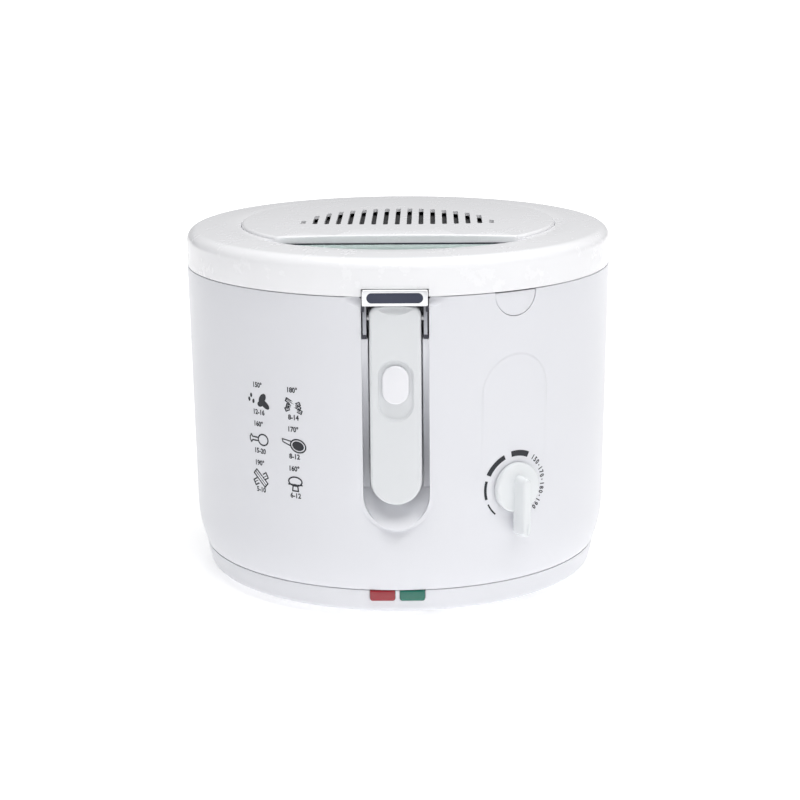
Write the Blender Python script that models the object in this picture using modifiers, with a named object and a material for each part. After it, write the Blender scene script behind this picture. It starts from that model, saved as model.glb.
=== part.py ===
"""Deep fryer: round housing with a coated bowl, a lift-up basket on a folding handle and a hinged lid.

Metres, +Z up, feet on z = 0, the handle faces -Y. Angles around the drum run from -Y towards +X.
"""

import math

import bmesh
import bpy
from mathutils import Vector

# Clearances
GAP = 0.0003
RUNNING_GAP = 0.0004
LID_SEAM = 0.0004
LOOSE_GAP = 0.0005
ROUND = 44
SMALL_ROUND = 14

# Housing
BODY_RADIUS = 0.1325
HOUSING_TOP = 0.1971
HOUSING_WALL = 0.0025
WAIST_RADIUS = BODY_RADIUS - 0.0024
WAIST_HEIGHT = 0.0470
SEAM_RADIUS = WAIST_RADIUS - 0.0054
SEAM_HEIGHT = 0.0193

# Base pan, feet and screws
PAN_BOTTOM = 0.0044
PAN_WALL = 0.0024
PAN_CORNER = 0.0045
PAN_FOOT_RADIUS = SEAM_RADIUS - 0.0020
FOOT_RADIUS = 0.0090
FOOT_STEM_RADIUS = 0.0030
FOOT_CIRCLE = PAN_FOOT_RADIUS - 0.0277
SCREW_HEAD_RADIUS = 0.0038
SCREW_SHANK_RADIUS = 0.0018
SCREW_CIRCLE = PAN_FOOT_RADIUS - 0.0167
SCREW_LENGTH = 0.0200

# Handle, its recess and the finger room behind and below it
HANDLE_HALF_WIDTH = 0.0150
HANDLE_LENGTH = 0.1178
HANDLE_DEPTH = 0.0129
HANDLE_WALL = 0.0025
HANDLE_ROUNDING = 0.0020
HANDLE_FRONT = BODY_RADIUS - 0.0001
PLATE_BOTTOM = HOUSING_TOP - 0.0046
PLATE_TOP = HOUSING_TOP + 0.0047
HANDLE_TOP = PLATE_BOTTOM - 0.0008
HANDLE_BOTTOM = HANDLE_TOP - HANDLE_LENGTH
HANDLE_PIN_Y = HANDLE_FRONT - 0.0069
HANDLE_PIN_Z = HANDLE_TOP - 0.0072
RECESS_WALL = 0.0022
RECESS_HALF_WIDTH = HANDLE_HALF_WIDTH + 0.0045
RECESS_BOTTOM = HANDLE_BOTTOM - 0.0149
RECESS_BACK = HANDLE_FRONT - HANDLE_DEPTH - 0.0090
LEDGE_INNER = HANDLE_HALF_WIDTH + 0.0007
LEDGE_FRONT = HANDLE_FRONT - 0.0034
LEDGE_FOOT = HANDLE_BOTTOM + 0.0060

# Slide button on the handle
THUMB_HALF_WIDTH = 0.0107
THUMB_BOTTOM = HANDLE_BOTTOM + 0.0503
THUMB_TOP = THUMB_BOTTOM + 0.0370
THUMB_DEPTH = 0.0018
BUTTON_HALF_WIDTH = THUMB_HALF_WIDTH - 0.0029
BUTTON_BOTTOM = THUMB_BOTTOM + 0.0102
BUTTON_TOP = BUTTON_BOTTOM + 0.0229
BUTTON_TRAVEL = 0.0045
STEM_HALF_WIDTH = 0.0038
STEM_BOTTOM = BUTTON_BOTTOM + 0.0086
STEM_TOP = STEM_BOTTOM + 0.0062
LOCK_BAR_LOW = STEM_BOTTOM - 0.0100
SPRING_LENGTH = 0.0100
SPRING_REST = LOCK_BAR_LOW - RUNNING_GAP - SPRING_LENGTH
SPRING_RADIUS = 0.0016
SPRING_WIRE = 0.0003

# Bowl, its flange and the rim collar around it
FLANGE_RADIUS = RECESS_BACK - RECESS_WALL - LOOSE_GAP
BOWL_RADIUS = FLANGE_RADIUS - 0.0048
BOWL_WALL = 0.0015
BOWL_FLOOR = 0.0760
BOWL_CORNER = 0.0180
FLANGE_TOP = HOUSING_TOP - 0.0033
COLLAR_WALL = 0.0022
COLLAR_SKIRT = 0.0080
LIP_WIDTH = 0.0020
LIP_HEIGHT = 0.0028

# Chromed bracket
BRACKET_FRONT = BODY_RADIUS + 0.0015
BRACKET_SHEET = 0.0014
PLATE_THICKNESS = 0.0024
PLATE_HALF_WIDTH = RECESS_HALF_WIDTH - 0.0006
CHEEK_THICKNESS = 0.0022
CHEEK_BOTTOM = PLATE_BOTTOM - 0.0190
CHEEK_BACK = RECESS_BACK + 0.0035
TONGUE_HALF_WIDTH = 0.0090
TONGUE_BOTTOM = BOWL_FLOOR + 0.0190
TONGUE_Y = BOWL_RADIUS - 0.0021
STRAP_HALF_WIDTH = TONGUE_HALF_WIDTH + 0.0030
STRAP_LOW = FLANGE_TOP + RUNNING_GAP

# Basket
BASKET_RADIUS = BOWL_RADIUS - 0.0095
BASKET_FOOT_RADIUS = BASKET_RADIUS - 0.0035
BASKET_BOTTOM = BOWL_FLOOR + 0.0035
BASKET_DEPTH = 0.0595
BASKET_TOP = BASKET_BOTTOM + BASKET_DEPTH
BASKET_WALL = 0.0015
BASKET_CORNER = 0.0060
RIM_WIRE_RADIUS = 0.0018
HANGER_HALF_WIDTH = TONGUE_HALF_WIDTH + 0.0030
HANGER_BOTTOM = BASKET_TOP - 0.0170
HANGER_TOP = BASKET_TOP + 0.0050
HANGER_LIP_TOP = BASKET_TOP - 0.0010

# Lid
LID_BOTTOM = HOUSING_TOP + LID_SEAM
LID_WALL = 0.0022
LID_EDGE_TOP = HOUSING_TOP + 0.0154
LID_EDGE_RADIUS = 0.0070
LID_INSET_RADIUS = BODY_RADIUS - 0.0339
LID_INSET_TOP = LID_EDGE_TOP + LID_EDGE_RADIUS + 0.0010
LID_INSET_FLOOR = LID_EDGE_TOP - 0.0003
BAY_DEPTH = 0.0026
BAY_WIDTH = 0.0060
INNER_LID_RADIUS = BODY_RADIUS - 0.0145
INNER_LID_HEIGHT = HOUSING_TOP + 0.0014
INNER_LID_WALL = 0.0015
INNER_LID_RIM = 0.0060
STEAM_HOLE = 0.0040
SEAL_WIDTH = 0.0036
WINDOW_CHORD = LID_INSET_RADIUS - 0.0326
WINDOW_LEDGE = 0.0040
WINDOW_TOP = LID_INSET_FLOOR + 0.0050
INNER_PANE = 0.0020
COVER_TOP = LID_INSET_TOP + 0.0017
COVER_CROWN = COVER_TOP + 0.0016
COVER_WALL = 0.0020
SLOT_COUNT = 17
SLOT_PITCH = 0.0073
SLOT_WIDTH = 0.0030
SLOT_BASELINE = -0.0295
SLOT_BASELINE_RISE = 0.0075
SLOT_FIELD_RADIUS = 0.0593
SLOT_FIELD_CENTRE = -0.0203
VENT_RADIUS = 0.0480
FILTER_RADIUS = VENT_RADIUS + 0.0080
FILTER_CENTRE = 0.0050
FILTER_THICKNESS = 0.0055
GREASE_MESH_THICKNESS = 0.0008

# Rear hinge
PIN_RADIUS = 0.0020
KNUCKLE_RADIUS = PIN_RADIUS + 0.0035
LUG_RADIUS = PIN_RADIUS + 0.0025
HINGE_Y = BODY_RADIUS - 0.0045
HINGE_Z = HOUSING_TOP + 0.0059
HINGE_HALF_WIDTH = 0.0350
LUG_INNER = HINGE_HALF_WIDTH - 0.0140
LUG_OUTER = HINGE_HALF_WIDTH - 0.0080
BLOCK_FOOT = HOUSING_TOP - 0.0260

# Dial and thermostat
DIAL_ANGLE = math.radians(32.5)
DIAL_HEIGHT = 0.0790
DIAL_RADIUS = 0.0150
DIAL_GAP = 0.0006
DIAL_DISC_THICKNESS = 0.0035
DIAL_GRIP_HALF_WIDTH = 0.0036
DIAL_GRIP_TOP = 0.0080
DIAL_GRIP_BOTTOM = 0.0290
DIAL_GRIP_HEIGHT = 0.0130
SHAFT_RADIUS = 0.0030
SHAFT_TAIL = 0.0060
THERMOSTAT_HALF_WIDTH = 0.0140
THERMOSTAT_HALF_HEIGHT = 0.0150
THERMOSTAT_DEPTH = 0.0160
CAPILLARY_RADIUS = 0.0010
BULB_REACH = 0.0400

# Lid release and lid hook
RELEASE_ANGLE = math.radians(32.0)
RELEASE_RADIUS = 0.0140
RELEASE_TOP = HOUSING_TOP - 0.0004
RELEASE_THICKNESS = 0.0030
HOOK_RADIUS = BODY_RADIUS - 0.0142
HOOK_THICKNESS = 0.0030
HOOK_HALF_WIDTH = 0.0060
HOOK_FOOT = HOUSING_TOP - 0.0136

# Lamps
LENS_WIDTH = 0.0148
LENS_HEIGHT = 0.0064
LENS_SPACING = 0.0030
LENS_DEPTH = 0.0050
NEON_RADIUS = 0.0022
NEON_LENGTH = 0.0100

# Heating
ELEMENT_RADIUS = 0.0620
ELEMENT_TUBE_RADIUS = 0.0032
SHIELD_RADIUS = BOWL_RADIUS - 0.0050
SHIELD_HEIGHT = BOWL_FLOOR - 0.0240
SHIELD_RIM = 0.0080
SHIELD_SHEET = 0.0010
CUTOUT_RADIUS = 0.0080
CUTOUT_HEIGHT = 0.0100

# Cord inlet
GLAND_RADIUS = 0.0060
GLAND_BORE = 0.0035
GLAND_HEIGHT = 0.0560
CUT_PAST = 0.0100
CUT_WALL = 0.0050
CUT_EDGE = 0.0040
CUT_SHORT = 0.0020
BLOCK_BACK_TAPER = 0.0100
BLOCK_FRONT_TAPER = 0.0080
BLOCK_TOE = 0.0010
LEDGE_ROOT = 0.0005
LEDGE_SPLAY = 0.0030
PAN_DRAFT = 0.0010
PAN_RISE = 0.0040
AIR_SLOT_START = 0.0300
AIR_SLOT_PITCH = 0.0080
AIR_SLOT_WIDTH = 0.0030
AIR_SLOT_HALF_LENGTH = 0.0250
LENS_POCKET_DEPTH = 0.0120
FOOT_HEAD = 0.0020
FOOT_ROUND = 0.0015
SCREW_POINT = 0.0020
SCREW_HEAD_HEIGHT = 0.0018
SCREW_HEAD_CROWN = 0.0004
COLLAR_DRAFT = 0.0004
LUG_ROOT = 0.0040
LUG_BACK = 0.0028
HINGE_NOTCH_GAP = 0.0010
HINGE_NOTCH_DEPTH = 0.0060
RELEASE_PORT_DEPTH = 0.0060
INNER_PANE_MARGIN = 0.0060
COVER_SAG = 0.0004
FILTER_SEAT = 0.0050
STEAM_RING = 0.0220
STEAM_OUTER_RING = 0.0360
SEAL_TAPER = 0.0006
SEAL_EDGE = 0.0010
SEAL_NOTCH_GAP = 0.0015
HOOK_NOSE_OVERLAP = 0.0010
HOOK_NOSE_HEIGHT = 0.0030
RELEASE_STEM_HALF_WIDTH = 0.0040
RELEASE_STEM_FOOT = 0.0060
RELEASE_STEM_HEAD = 0.0010
RELEASE_STEM_START = 0.0077
STRAP_LAP = 0.0010
STRAP_STEP = 0.0002
CHEEK_LAP = 0.0004
HANDLE_CORNER = 0.0050
HANDLE_LEAST_CORNER = 0.0010
PIN_BOSS = 0.0050
RIB_FRONT = 0.0009
RIB_THICKNESS = 0.0020
RIB_ROOT = 0.0005
RELEASE_SLOT_DEPTH = 0.0053
BUTTON_PROUD = 0.0004
LOCK_BAR_BACK = 0.0068
LOCK_BAR_THICKNESS = 0.0018
HANGER_LIP_DEPTH = 0.0018
HANGER_LIP_STEP = 0.0001
HANGER_LIP_LAP = 0.0010
GRIP_LAP = 0.0010
SOCKET_DEPTH = 0.0035
CAPILLARY_DROP = 0.0020
CAPILLARY_OUTSET = 0.0130
CAPILLARY_LIFT = 0.0025
BULB_DROP = 0.0035
ELEMENT_TAIL = 0.0100
ELEMENT_TAIL_OUT = 0.0080
ELEMENT_BEND_OUT = 0.0050
ELEMENT_BEND_DROP = 0.0010
SHIELD_CORNER = 0.0020
CUTOUT_X = -0.0250
CUTOUT_Y = 0.0150
TERMINAL_HALF = 0.0180
TERMINAL_FRONT = 0.0850
TERMINAL_BACK = 0.0970
TERMINAL_HEIGHT = 0.0140
GLAND_LIP = 0.0012
GLAND_LIP_WIDTH = 0.0015
GLAND_TAIL = 0.0040
LENS_SETBACK = 0.0001
LENS_NEON_GAP = 0.0020
HOLDER_GAP = 0.0060
HOLDER_THICKNESS = 0.0020


def reset_scene():
    for item in list(bpy.data.objects):
        bpy.data.objects.remove(item, do_unlink=True)
    parts = bpy.data.collections.new("deep_fryer")
    cutters = bpy.data.collections.new("cutters")
    bpy.context.scene.collection.children.link(parts)
    bpy.context.scene.collection.children.link(cutters)
    return parts, cutters


PARTS, CUTTERS = reset_scene()


def principled(name, colour, roughness, metallic=0.0):
    material = bpy.data.materials.new(name)
    material.use_nodes = True
    shader = material.node_tree.nodes["Principled BSDF"]
    shader.inputs["Base Color"].default_value = (*colour, 1.0)
    shader.inputs["Roughness"].default_value = roughness
    shader.inputs["Metallic"].default_value = metallic
    material.diffuse_color = (*colour, 1.0)
    return material


WHITE = principled("white_plastic", (0.86, 0.87, 0.90), 0.25)
CHROME = principled("chromed_steel", (0.75, 0.76, 0.78), 0.08, 1.0)
COATED = principled("non_stick_coating", (0.08, 0.08, 0.09), 0.45)
STEEL = principled("plain_steel", (0.60, 0.60, 0.61), 0.30, 1.0)
SILICONE = principled("grey_silicone", (0.45, 0.46, 0.47), 0.60)
RUBBER = principled("black_rubber", (0.05, 0.05, 0.05), 0.80)
GLASS = principled("window_glass", (0.75, 0.85, 0.82), 0.05)
FOAM = principled("filter_foam", (0.12, 0.12, 0.12), 0.95)
RED = principled("red_lens", (0.45, 0.02, 0.03), 0.15)
GREEN = principled("green_lens", (0.01, 0.25, 0.18), 0.15)
BLACK = principled("black_plastic", (0.04, 0.04, 0.04), 0.50)
COPPER = principled("copper_tube", (0.72, 0.40, 0.25), 0.30, 1.0)
NEON = principled("lamp_glass", (0.80, 0.70, 0.60), 0.10)


def mesh_object(name, mesh, collection=PARTS):
    item = bpy.data.objects.new(name, mesh)
    collection.objects.link(item)
    return item


def finish(item, material, smooth_angle=35.0):
    """Gives a part its material and smooth shading."""
    item.data.materials.append(material)
    item.data.shade_smooth()
    item.data.set_sharp_from_angle(angle=math.radians(smooth_angle))
    return item


def as_cutter(item):
    item.hide_render = True
    item.display_type = "WIRE"
    return item


def boolean(item, other, operation="DIFFERENCE"):
    modifier = item.modifiers.new(other.name, "BOOLEAN")
    modifier.operation = operation
    modifier.object = other
    modifier.solver = "EXACT"
    return item


def bmesh_object(name, bm, collection=PARTS):
    mesh = bpy.data.meshes.new(name)
    bm.to_mesh(mesh)
    bm.free()
    return mesh_object(name, mesh, collection)


def add_box(bm, low, high):
    low = Vector(low)
    high = Vector(high)
    corners = bmesh.ops.create_cube(bm, size=1.0)["verts"]
    bmesh.ops.scale(bm, vec=high - low, verts=corners)
    bmesh.ops.translate(bm, vec=(low + high) / 2, verts=corners)


def box(name, low, high, collection=PARTS):
    bm = bmesh.new()
    add_box(bm, low, high)
    return bmesh_object(name, bm, collection)


def rod(name, radius, start, end, collection=PARTS, sides=SMALL_ROUND):
    """A closed cylinder from start to end."""
    start = Vector(start)
    end = Vector(end)
    bm = bmesh.new()
    bmesh.ops.create_cone(
        bm, cap_ends=True, segments=sides, radius1=radius, radius2=radius, depth=(end - start).length
    )
    item = bmesh_object(name, bm, collection)
    item.location = (start + end) / 2
    item.rotation_mode = "QUATERNION"
    item.rotation_quaternion = (end - start).to_track_quat("Z", "Y")
    return item


def turned(name, profile, closed=True, sides=ROUND, collection=PARTS):
    """A profile of (radius, height) points, turned about +Z. It runs down the outer side first."""
    count = len(profile)
    edges = [(i, i + 1) for i in range(count - 1)]
    if closed:
        edges.append((count - 1, 0))
    mesh = bpy.data.meshes.new(name)
    mesh.from_pydata([(radius, 0.0, height) for radius, height in profile], edges, [])
    item = mesh_object(name, mesh, collection)
    screw = item.modifiers.new("turn", "SCREW")
    screw.axis = "Z"
    screw.steps = sides
    screw.render_steps = sides
    screw.use_merge_vertices = True
    screw.merge_threshold = 0.00001
    screw.use_smooth_shade = True
    return item


def arc(centre, radius, start, end, steps):
    """Points on a circle, from one angle to the other in degrees, both ends included."""
    points = []
    for step in range(steps + 1):
        angle = math.radians(start + (end - start) * step / steps)
        points.append((centre[0] + radius * math.cos(angle), centre[1] + radius * math.sin(angle)))
    return points


def prism(name, outline, low, high, collection=PARTS):
    """A flat outline in local XY, filled and given its thickness from low to high along local Z."""
    curve = bpy.data.curves.new(name, "CURVE")
    curve.dimensions = "2D"
    curve.fill_mode = "BOTH"
    curve.extrude = (high - low) / 2
    spline = curve.splines.new("POLY")
    spline.points.add(len(outline) - 1)
    for point, (x, y) in zip(spline.points, outline):
        point.co = (x, y, 0.0, 1.0)
    spline.use_cyclic_u = True
    guide = mesh_object(name + "_outline", curve, CUTTERS)
    bpy.context.view_layer.update()
    evaluated = guide.evaluated_get(bpy.context.evaluated_depsgraph_get())
    mesh = bpy.data.meshes.new_from_object(evaluated)
    bpy.data.objects.remove(guide, do_unlink=True)
    bm = bmesh.new()
    bm.from_mesh(mesh)
    bmesh.ops.remove_doubles(bm, verts=bm.verts, dist=0.000001)
    bmesh.ops.dissolve_limit(bm, angle_limit=0.001, verts=bm.verts, edges=bm.edges)
    bmesh.ops.translate(bm, vec=(0.0, 0.0, (low + high) / 2), verts=bm.verts)
    bmesh.ops.recalc_face_normals(bm, faces=bm.faces)
    bm.to_mesh(mesh)
    bm.free()
    mesh.name = name
    return mesh_object(name, mesh, collection)


def facing(item, angle=0.0):
    """Turns a prism so that its local X, Y, Z are across, up and outwards at this angle of the drum."""
    item.rotation_euler = (math.radians(90.0), 0.0, angle)
    return item


def across(item):
    """Turns a prism so that its local X, Y, Z are world Y, Z and X."""
    item.rotation_euler = (math.radians(90.0), 0.0, math.radians(90.0))
    return item


def bevel(item, width, segments=2, angle=35.0):
    modifier = item.modifiers.new("edges", "BEVEL")
    modifier.width = width
    modifier.segments = segments
    modifier.limit_method = "ANGLE"
    modifier.angle_limit = math.radians(angle)
    return item


def tube(name, points, radius, resolution=1, cyclic=False):
    curve = bpy.data.curves.new(name, "CURVE")
    curve.dimensions = "3D"
    curve.bevel_depth = radius
    curve.bevel_resolution = resolution
    curve.render_resolution_u = 0
    curve.use_fill_caps = not cyclic
    spline = curve.splines.new("POLY")
    spline.points.add(len(points) - 1)
    for point, place in zip(spline.points, points):
        point.co = (*place, 1.0)
    spline.use_cyclic_u = cyclic
    return mesh_object(name, curve)


def tube_material(item, material):
    item.data.materials.append(material)
    return item


def at_angle(angle, radius, height):
    return Vector((radius * math.sin(angle), -radius * math.cos(angle), height))


def offset_inwards(profile, distance):
    return [(radius - distance, height) for radius, height in profile]


def stadium(half_width, bottom, top, steps=8):
    """An upright slot outline with round ends."""
    lower = arc((0.0, bottom + half_width), half_width, 180.0, 360.0, steps)
    upper = arc((0.0, top - half_width), half_width, 0.0, 180.0, steps)
    return lower + upper


def body_radius_at(height):
    """Outer radius of the drum's straight wall."""
    share = (height - WAIST_HEIGHT) / (HOUSING_TOP - WAIST_HEIGHT)
    return WAIST_RADIUS + (BODY_RADIUS - WAIST_RADIUS) * share


def housing_side():
    """The drum's outer side from the top to the lower seam."""
    drop = WAIST_HEIGHT - SEAM_HEIGHT
    inset = WAIST_RADIUS - SEAM_RADIUS
    corner = (drop * drop + inset * inset) / (2 * inset)
    sweep = math.degrees(math.asin(drop / corner))
    side = [(BODY_RADIUS, HOUSING_TOP)]
    side += arc((WAIST_RADIUS - corner, WAIST_HEIGHT), corner, 0.0, -sweep, 4)
    return side


def recess_outline(margin, top):
    """The handle recess: straight sides and a half-round lower end."""
    half = RECESS_HALF_WIDTH + margin
    centre = RECESS_BOTTOM + RECESS_HALF_WIDTH
    return [(half, top), (-half, top)] + arc((0.0, centre), half, 180.0, 360.0, 14)


def hinge_side(radius, foot):
    """The rear hinge block seen from the side, as (y, z): a round knuckle on a tapered foot."""
    knuckle = arc((HINGE_Y, HINGE_Z), radius, 0.0, 180.0, 8)
    return [(HINGE_Y + radius, foot + BLOCK_BACK_TAPER), (HINGE_Y + radius, HINGE_Z)] + knuckle[1:-1] + [
        (HINGE_Y - radius, HINGE_Z),
        (HINGE_Y - radius, foot + BLOCK_FRONT_TAPER),
        (HINGE_Y + BLOCK_TOE, foot),
    ]


def make_housing():
    outer = housing_side()
    inner = offset_inwards(outer, HOUSING_WALL)
    housing = turned("housing", outer + inner[::-1])
    filled = [(0.0, HOUSING_TOP)] + outer + [(0.0, SEAM_HEIGHT)]
    drum = as_cutter(turned("drum_solid", filled, closed=False, collection=CUTTERS))
    pocket_top = FLANGE_TOP - 2 * GAP
    walls = recess_outline(RECESS_WALL, pocket_top)
    pocket = facing(prism("pocket_walls", walls, RECESS_BACK - RECESS_WALL, BODY_RADIUS + CUT_PAST, CUTTERS))
    boolean(as_cutter(pocket), drum, "INTERSECT")
    boolean(housing, pocket, "UNION")
    hollow = recess_outline(0.0, LID_EDGE_TOP)
    recess = facing(prism("recess", hollow, RECESS_BACK, BODY_RADIUS + 2 * CUT_PAST, CUTTERS))
    boolean(housing, as_cutter(recess))
    add_recess_ledges(housing)
    side_view = hinge_side(KNUCKLE_RADIUS, BLOCK_FOOT)
    block = across(prism("hinge_block", side_view, -HINGE_HALF_WIDTH, HINGE_HALF_WIDTH, CUTTERS))
    boolean(housing, as_cutter(block), "UNION")
    for side in (-1, 1):
        low, high = sorted((side * (LUG_INNER - LOOSE_GAP), side * (LUG_OUTER + LOOSE_GAP)))
        slot = as_cutter(
            box(
                f"lug_slot_{side}",
                (low, HINGE_Y - CUT_PAST, HINGE_Z - LUG_RADIUS - RUNNING_GAP),
                (high, HINGE_Y + CUT_PAST, HINGE_Z + CUT_PAST),
                CUTTERS,
            )
        )
        boolean(housing, slot)
    boolean(housing, pin_hole("hinge_bore", HINGE_Y, HINGE_Z, HINGE_HALF_WIDTH))
    port_back = BODY_RADIUS - RELEASE_PORT_DEPTH
    boolean(housing, release_port("release_port", RELEASE_RADIUS + RUNNING_GAP, port_back))
    outward = at_angle(DIAL_ANGLE, BODY_RADIUS + CUT_PAST, DIAL_HEIGHT)
    inward = at_angle(DIAL_ANGLE, BODY_RADIUS - 0.02, DIAL_HEIGHT)
    boolean(housing, as_cutter(rod("shaft_hole", SHAFT_RADIUS + RUNNING_GAP, inward, outward, CUTTERS)))
    inward = (0.0, BODY_RADIUS - 0.02, GLAND_HEIGHT)
    outward = (0.0, BODY_RADIUS + CUT_PAST, GLAND_HEIGHT)
    boolean(housing, as_cutter(rod("gland_hole", GLAND_RADIUS + GAP, inward, outward, CUTTERS)))
    finish(housing, WHITE)


def add_recess_ledges(housing):
    """Sloping ledges that fill the recess beside the handle, below the bracket's cheeks."""
    top = CHEEK_BOTTOM - LOOSE_GAP
    root = -RECESS_BACK + LEDGE_ROOT
    side_view = [(-LEDGE_FRONT, top), (root, top), (root, LEDGE_FOOT)]
    side_view += [(-RECESS_BACK - LEDGE_SPLAY, LEDGE_FOOT)]
    for side in (-1, 1):
        low, high = sorted((side * LEDGE_INNER, side * (RECESS_HALF_WIDTH + LEDGE_ROOT)))
        ledge = across(prism(f"recess_ledge_{side}", side_view, low, high, CUTTERS))
        boolean(housing, as_cutter(ledge), "UNION")


def pin_hole(name, y, z, half_length):
    return as_cutter(
        rod(name, PIN_RADIUS + GAP, (-half_length - CUT_SHORT, y, z), (half_length + CUT_SHORT, y, z),
            CUTTERS)
    )


def half_disc(radius):
    return arc((0.0, 0.0), radius, 180.0, 360.0, 14)


def release_port(name, radius, depth_from):
    """The half-round cut-out under the seam, open at the top."""
    outline = [(radius, CUT_PAST), (-radius, CUT_PAST)] + half_disc(radius)
    port = facing(prism(name, outline, depth_from, BODY_RADIUS + CUT_PAST, CUTTERS), RELEASE_ANGLE)
    port.location = (0.0, 0.0, RELEASE_TOP)
    return as_cutter(port)


def pan_side():
    """The base pan's outer side, top to bottom."""
    top = SEAM_HEIGHT - GAP
    corner_centre = (PAN_FOOT_RADIUS - PAN_CORNER, PAN_BOTTOM + PAN_CORNER)
    return [(SEAM_RADIUS, top), (PAN_FOOT_RADIUS + PAN_DRAFT, PAN_BOTTOM + PAN_CORNER + PAN_RISE)] + arc(
        corner_centre, PAN_CORNER, 0.0, -90.0, 4
    )


def make_base_pan():
    outer = pan_side()
    floor = PAN_BOTTOM + PAN_WALL
    inner_radius = PAN_FOOT_RADIUS - PAN_CORNER
    profile = outer + [(0.0, PAN_BOTTOM), (0.0, floor), (inner_radius, floor)]
    profile += [(SEAM_RADIUS - PAN_WALL, PAN_BOTTOM + PAN_CORNER + PAN_RISE)]
    profile += [(SEAM_RADIUS - PAN_WALL, SEAM_HEIGHT - GAP)]
    pan = turned("base_pan", profile, closed=True)
    for index in range(4):
        angle = math.radians(45.0 + 90.0 * index)
        low = at_angle(angle, FOOT_CIRCLE, 0.0)
        high = at_angle(angle, FOOT_CIRCLE, PAN_BOTTOM + CUT_PAST)
        hole = rod(f"foot_hole_{index}", FOOT_STEM_RADIUS + GAP, low, high, CUTTERS)
        boolean(pan, as_cutter(hole))
        angle = math.radians(90.0 * index + 10.0)
        low = at_angle(angle, SCREW_CIRCLE, 0.0)
        high = at_angle(angle, SCREW_CIRCLE, PAN_BOTTOM + CUT_PAST)
        hole = rod(f"screw_hole_{index}", SCREW_SHANK_RADIUS + GAP, low, high, CUTTERS, 12)
        boolean(pan, as_cutter(hole))
    bm = bmesh.new()
    for row in range(5):
        y = AIR_SLOT_START + AIR_SLOT_PITCH * row
        far = (AIR_SLOT_HALF_LENGTH, y + AIR_SLOT_WIDTH, PAN_BOTTOM + CUT_PAST)
        add_box(bm, (-AIR_SLOT_HALF_LENGTH, y, 0.0), far)
    boolean(pan, as_cutter(bmesh_object("air_slots", bm, CUTTERS)))
    bm = bmesh.new()
    for side in (-1, 1):
        centre = side * (LENS_WIDTH + LENS_SPACING) / 2
        half = LENS_WIDTH / 2 + GAP
        low = (centre - half, -SEAM_RADIUS - CUT_PAST, lens_bottom() - GAP)
        add_box(bm, low, (centre + half, -SEAM_RADIUS + LENS_POCKET_DEPTH, SEAM_HEIGHT + CUT_EDGE))
    boolean(pan, as_cutter(bmesh_object("lens_openings", bm, CUTTERS)))
    finish(pan, WHITE)


def lens_bottom():
    return SEAM_HEIGHT - GAP - LENS_HEIGHT


def make_feet_and_screws():
    for index in range(4):
        angle = math.radians(45.0 + 90.0 * index)
        top = PAN_BOTTOM - GAP
        profile = [
            (0.0, PAN_BOTTOM + PAN_WALL + FOOT_HEAD),
            (FOOT_STEM_RADIUS, PAN_BOTTOM + PAN_WALL + FOOT_HEAD),
            (FOOT_STEM_RADIUS, top),
            (FOOT_RADIUS, top),
            (FOOT_RADIUS - FOOT_ROUND / 3, FOOT_ROUND / 2),
            (FOOT_RADIUS - FOOT_ROUND, 0.0),
            (0.0, 0.0),
        ]
        foot = turned(f"foot_{index + 1}", profile, closed=False, sides=SMALL_ROUND)
        foot.location = at_angle(angle, FOOT_CIRCLE, 0.0)
        finish(foot, RUBBER)
        angle = math.radians(90.0 * index + 10.0)
        head = PAN_BOTTOM - GAP
        profile = [
            (0.0, PAN_BOTTOM + SCREW_LENGTH),
            (SCREW_SHANK_RADIUS * 0.5, PAN_BOTTOM + SCREW_LENGTH),
            (SCREW_SHANK_RADIUS, PAN_BOTTOM + SCREW_LENGTH - SCREW_POINT),
            (SCREW_SHANK_RADIUS, head),
            (SCREW_HEAD_RADIUS, head),
            (SCREW_HEAD_RADIUS * 0.8, head - SCREW_HEAD_HEIGHT),
            (0.0, head - SCREW_HEAD_HEIGHT - SCREW_HEAD_CROWN),
        ]
        screw = turned(f"base_screw_{index + 1}", profile, closed=False, sides=12)
        screw.location = at_angle(angle, SCREW_CIRCLE, 0.0)
        finish(screw, STEEL)


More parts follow.
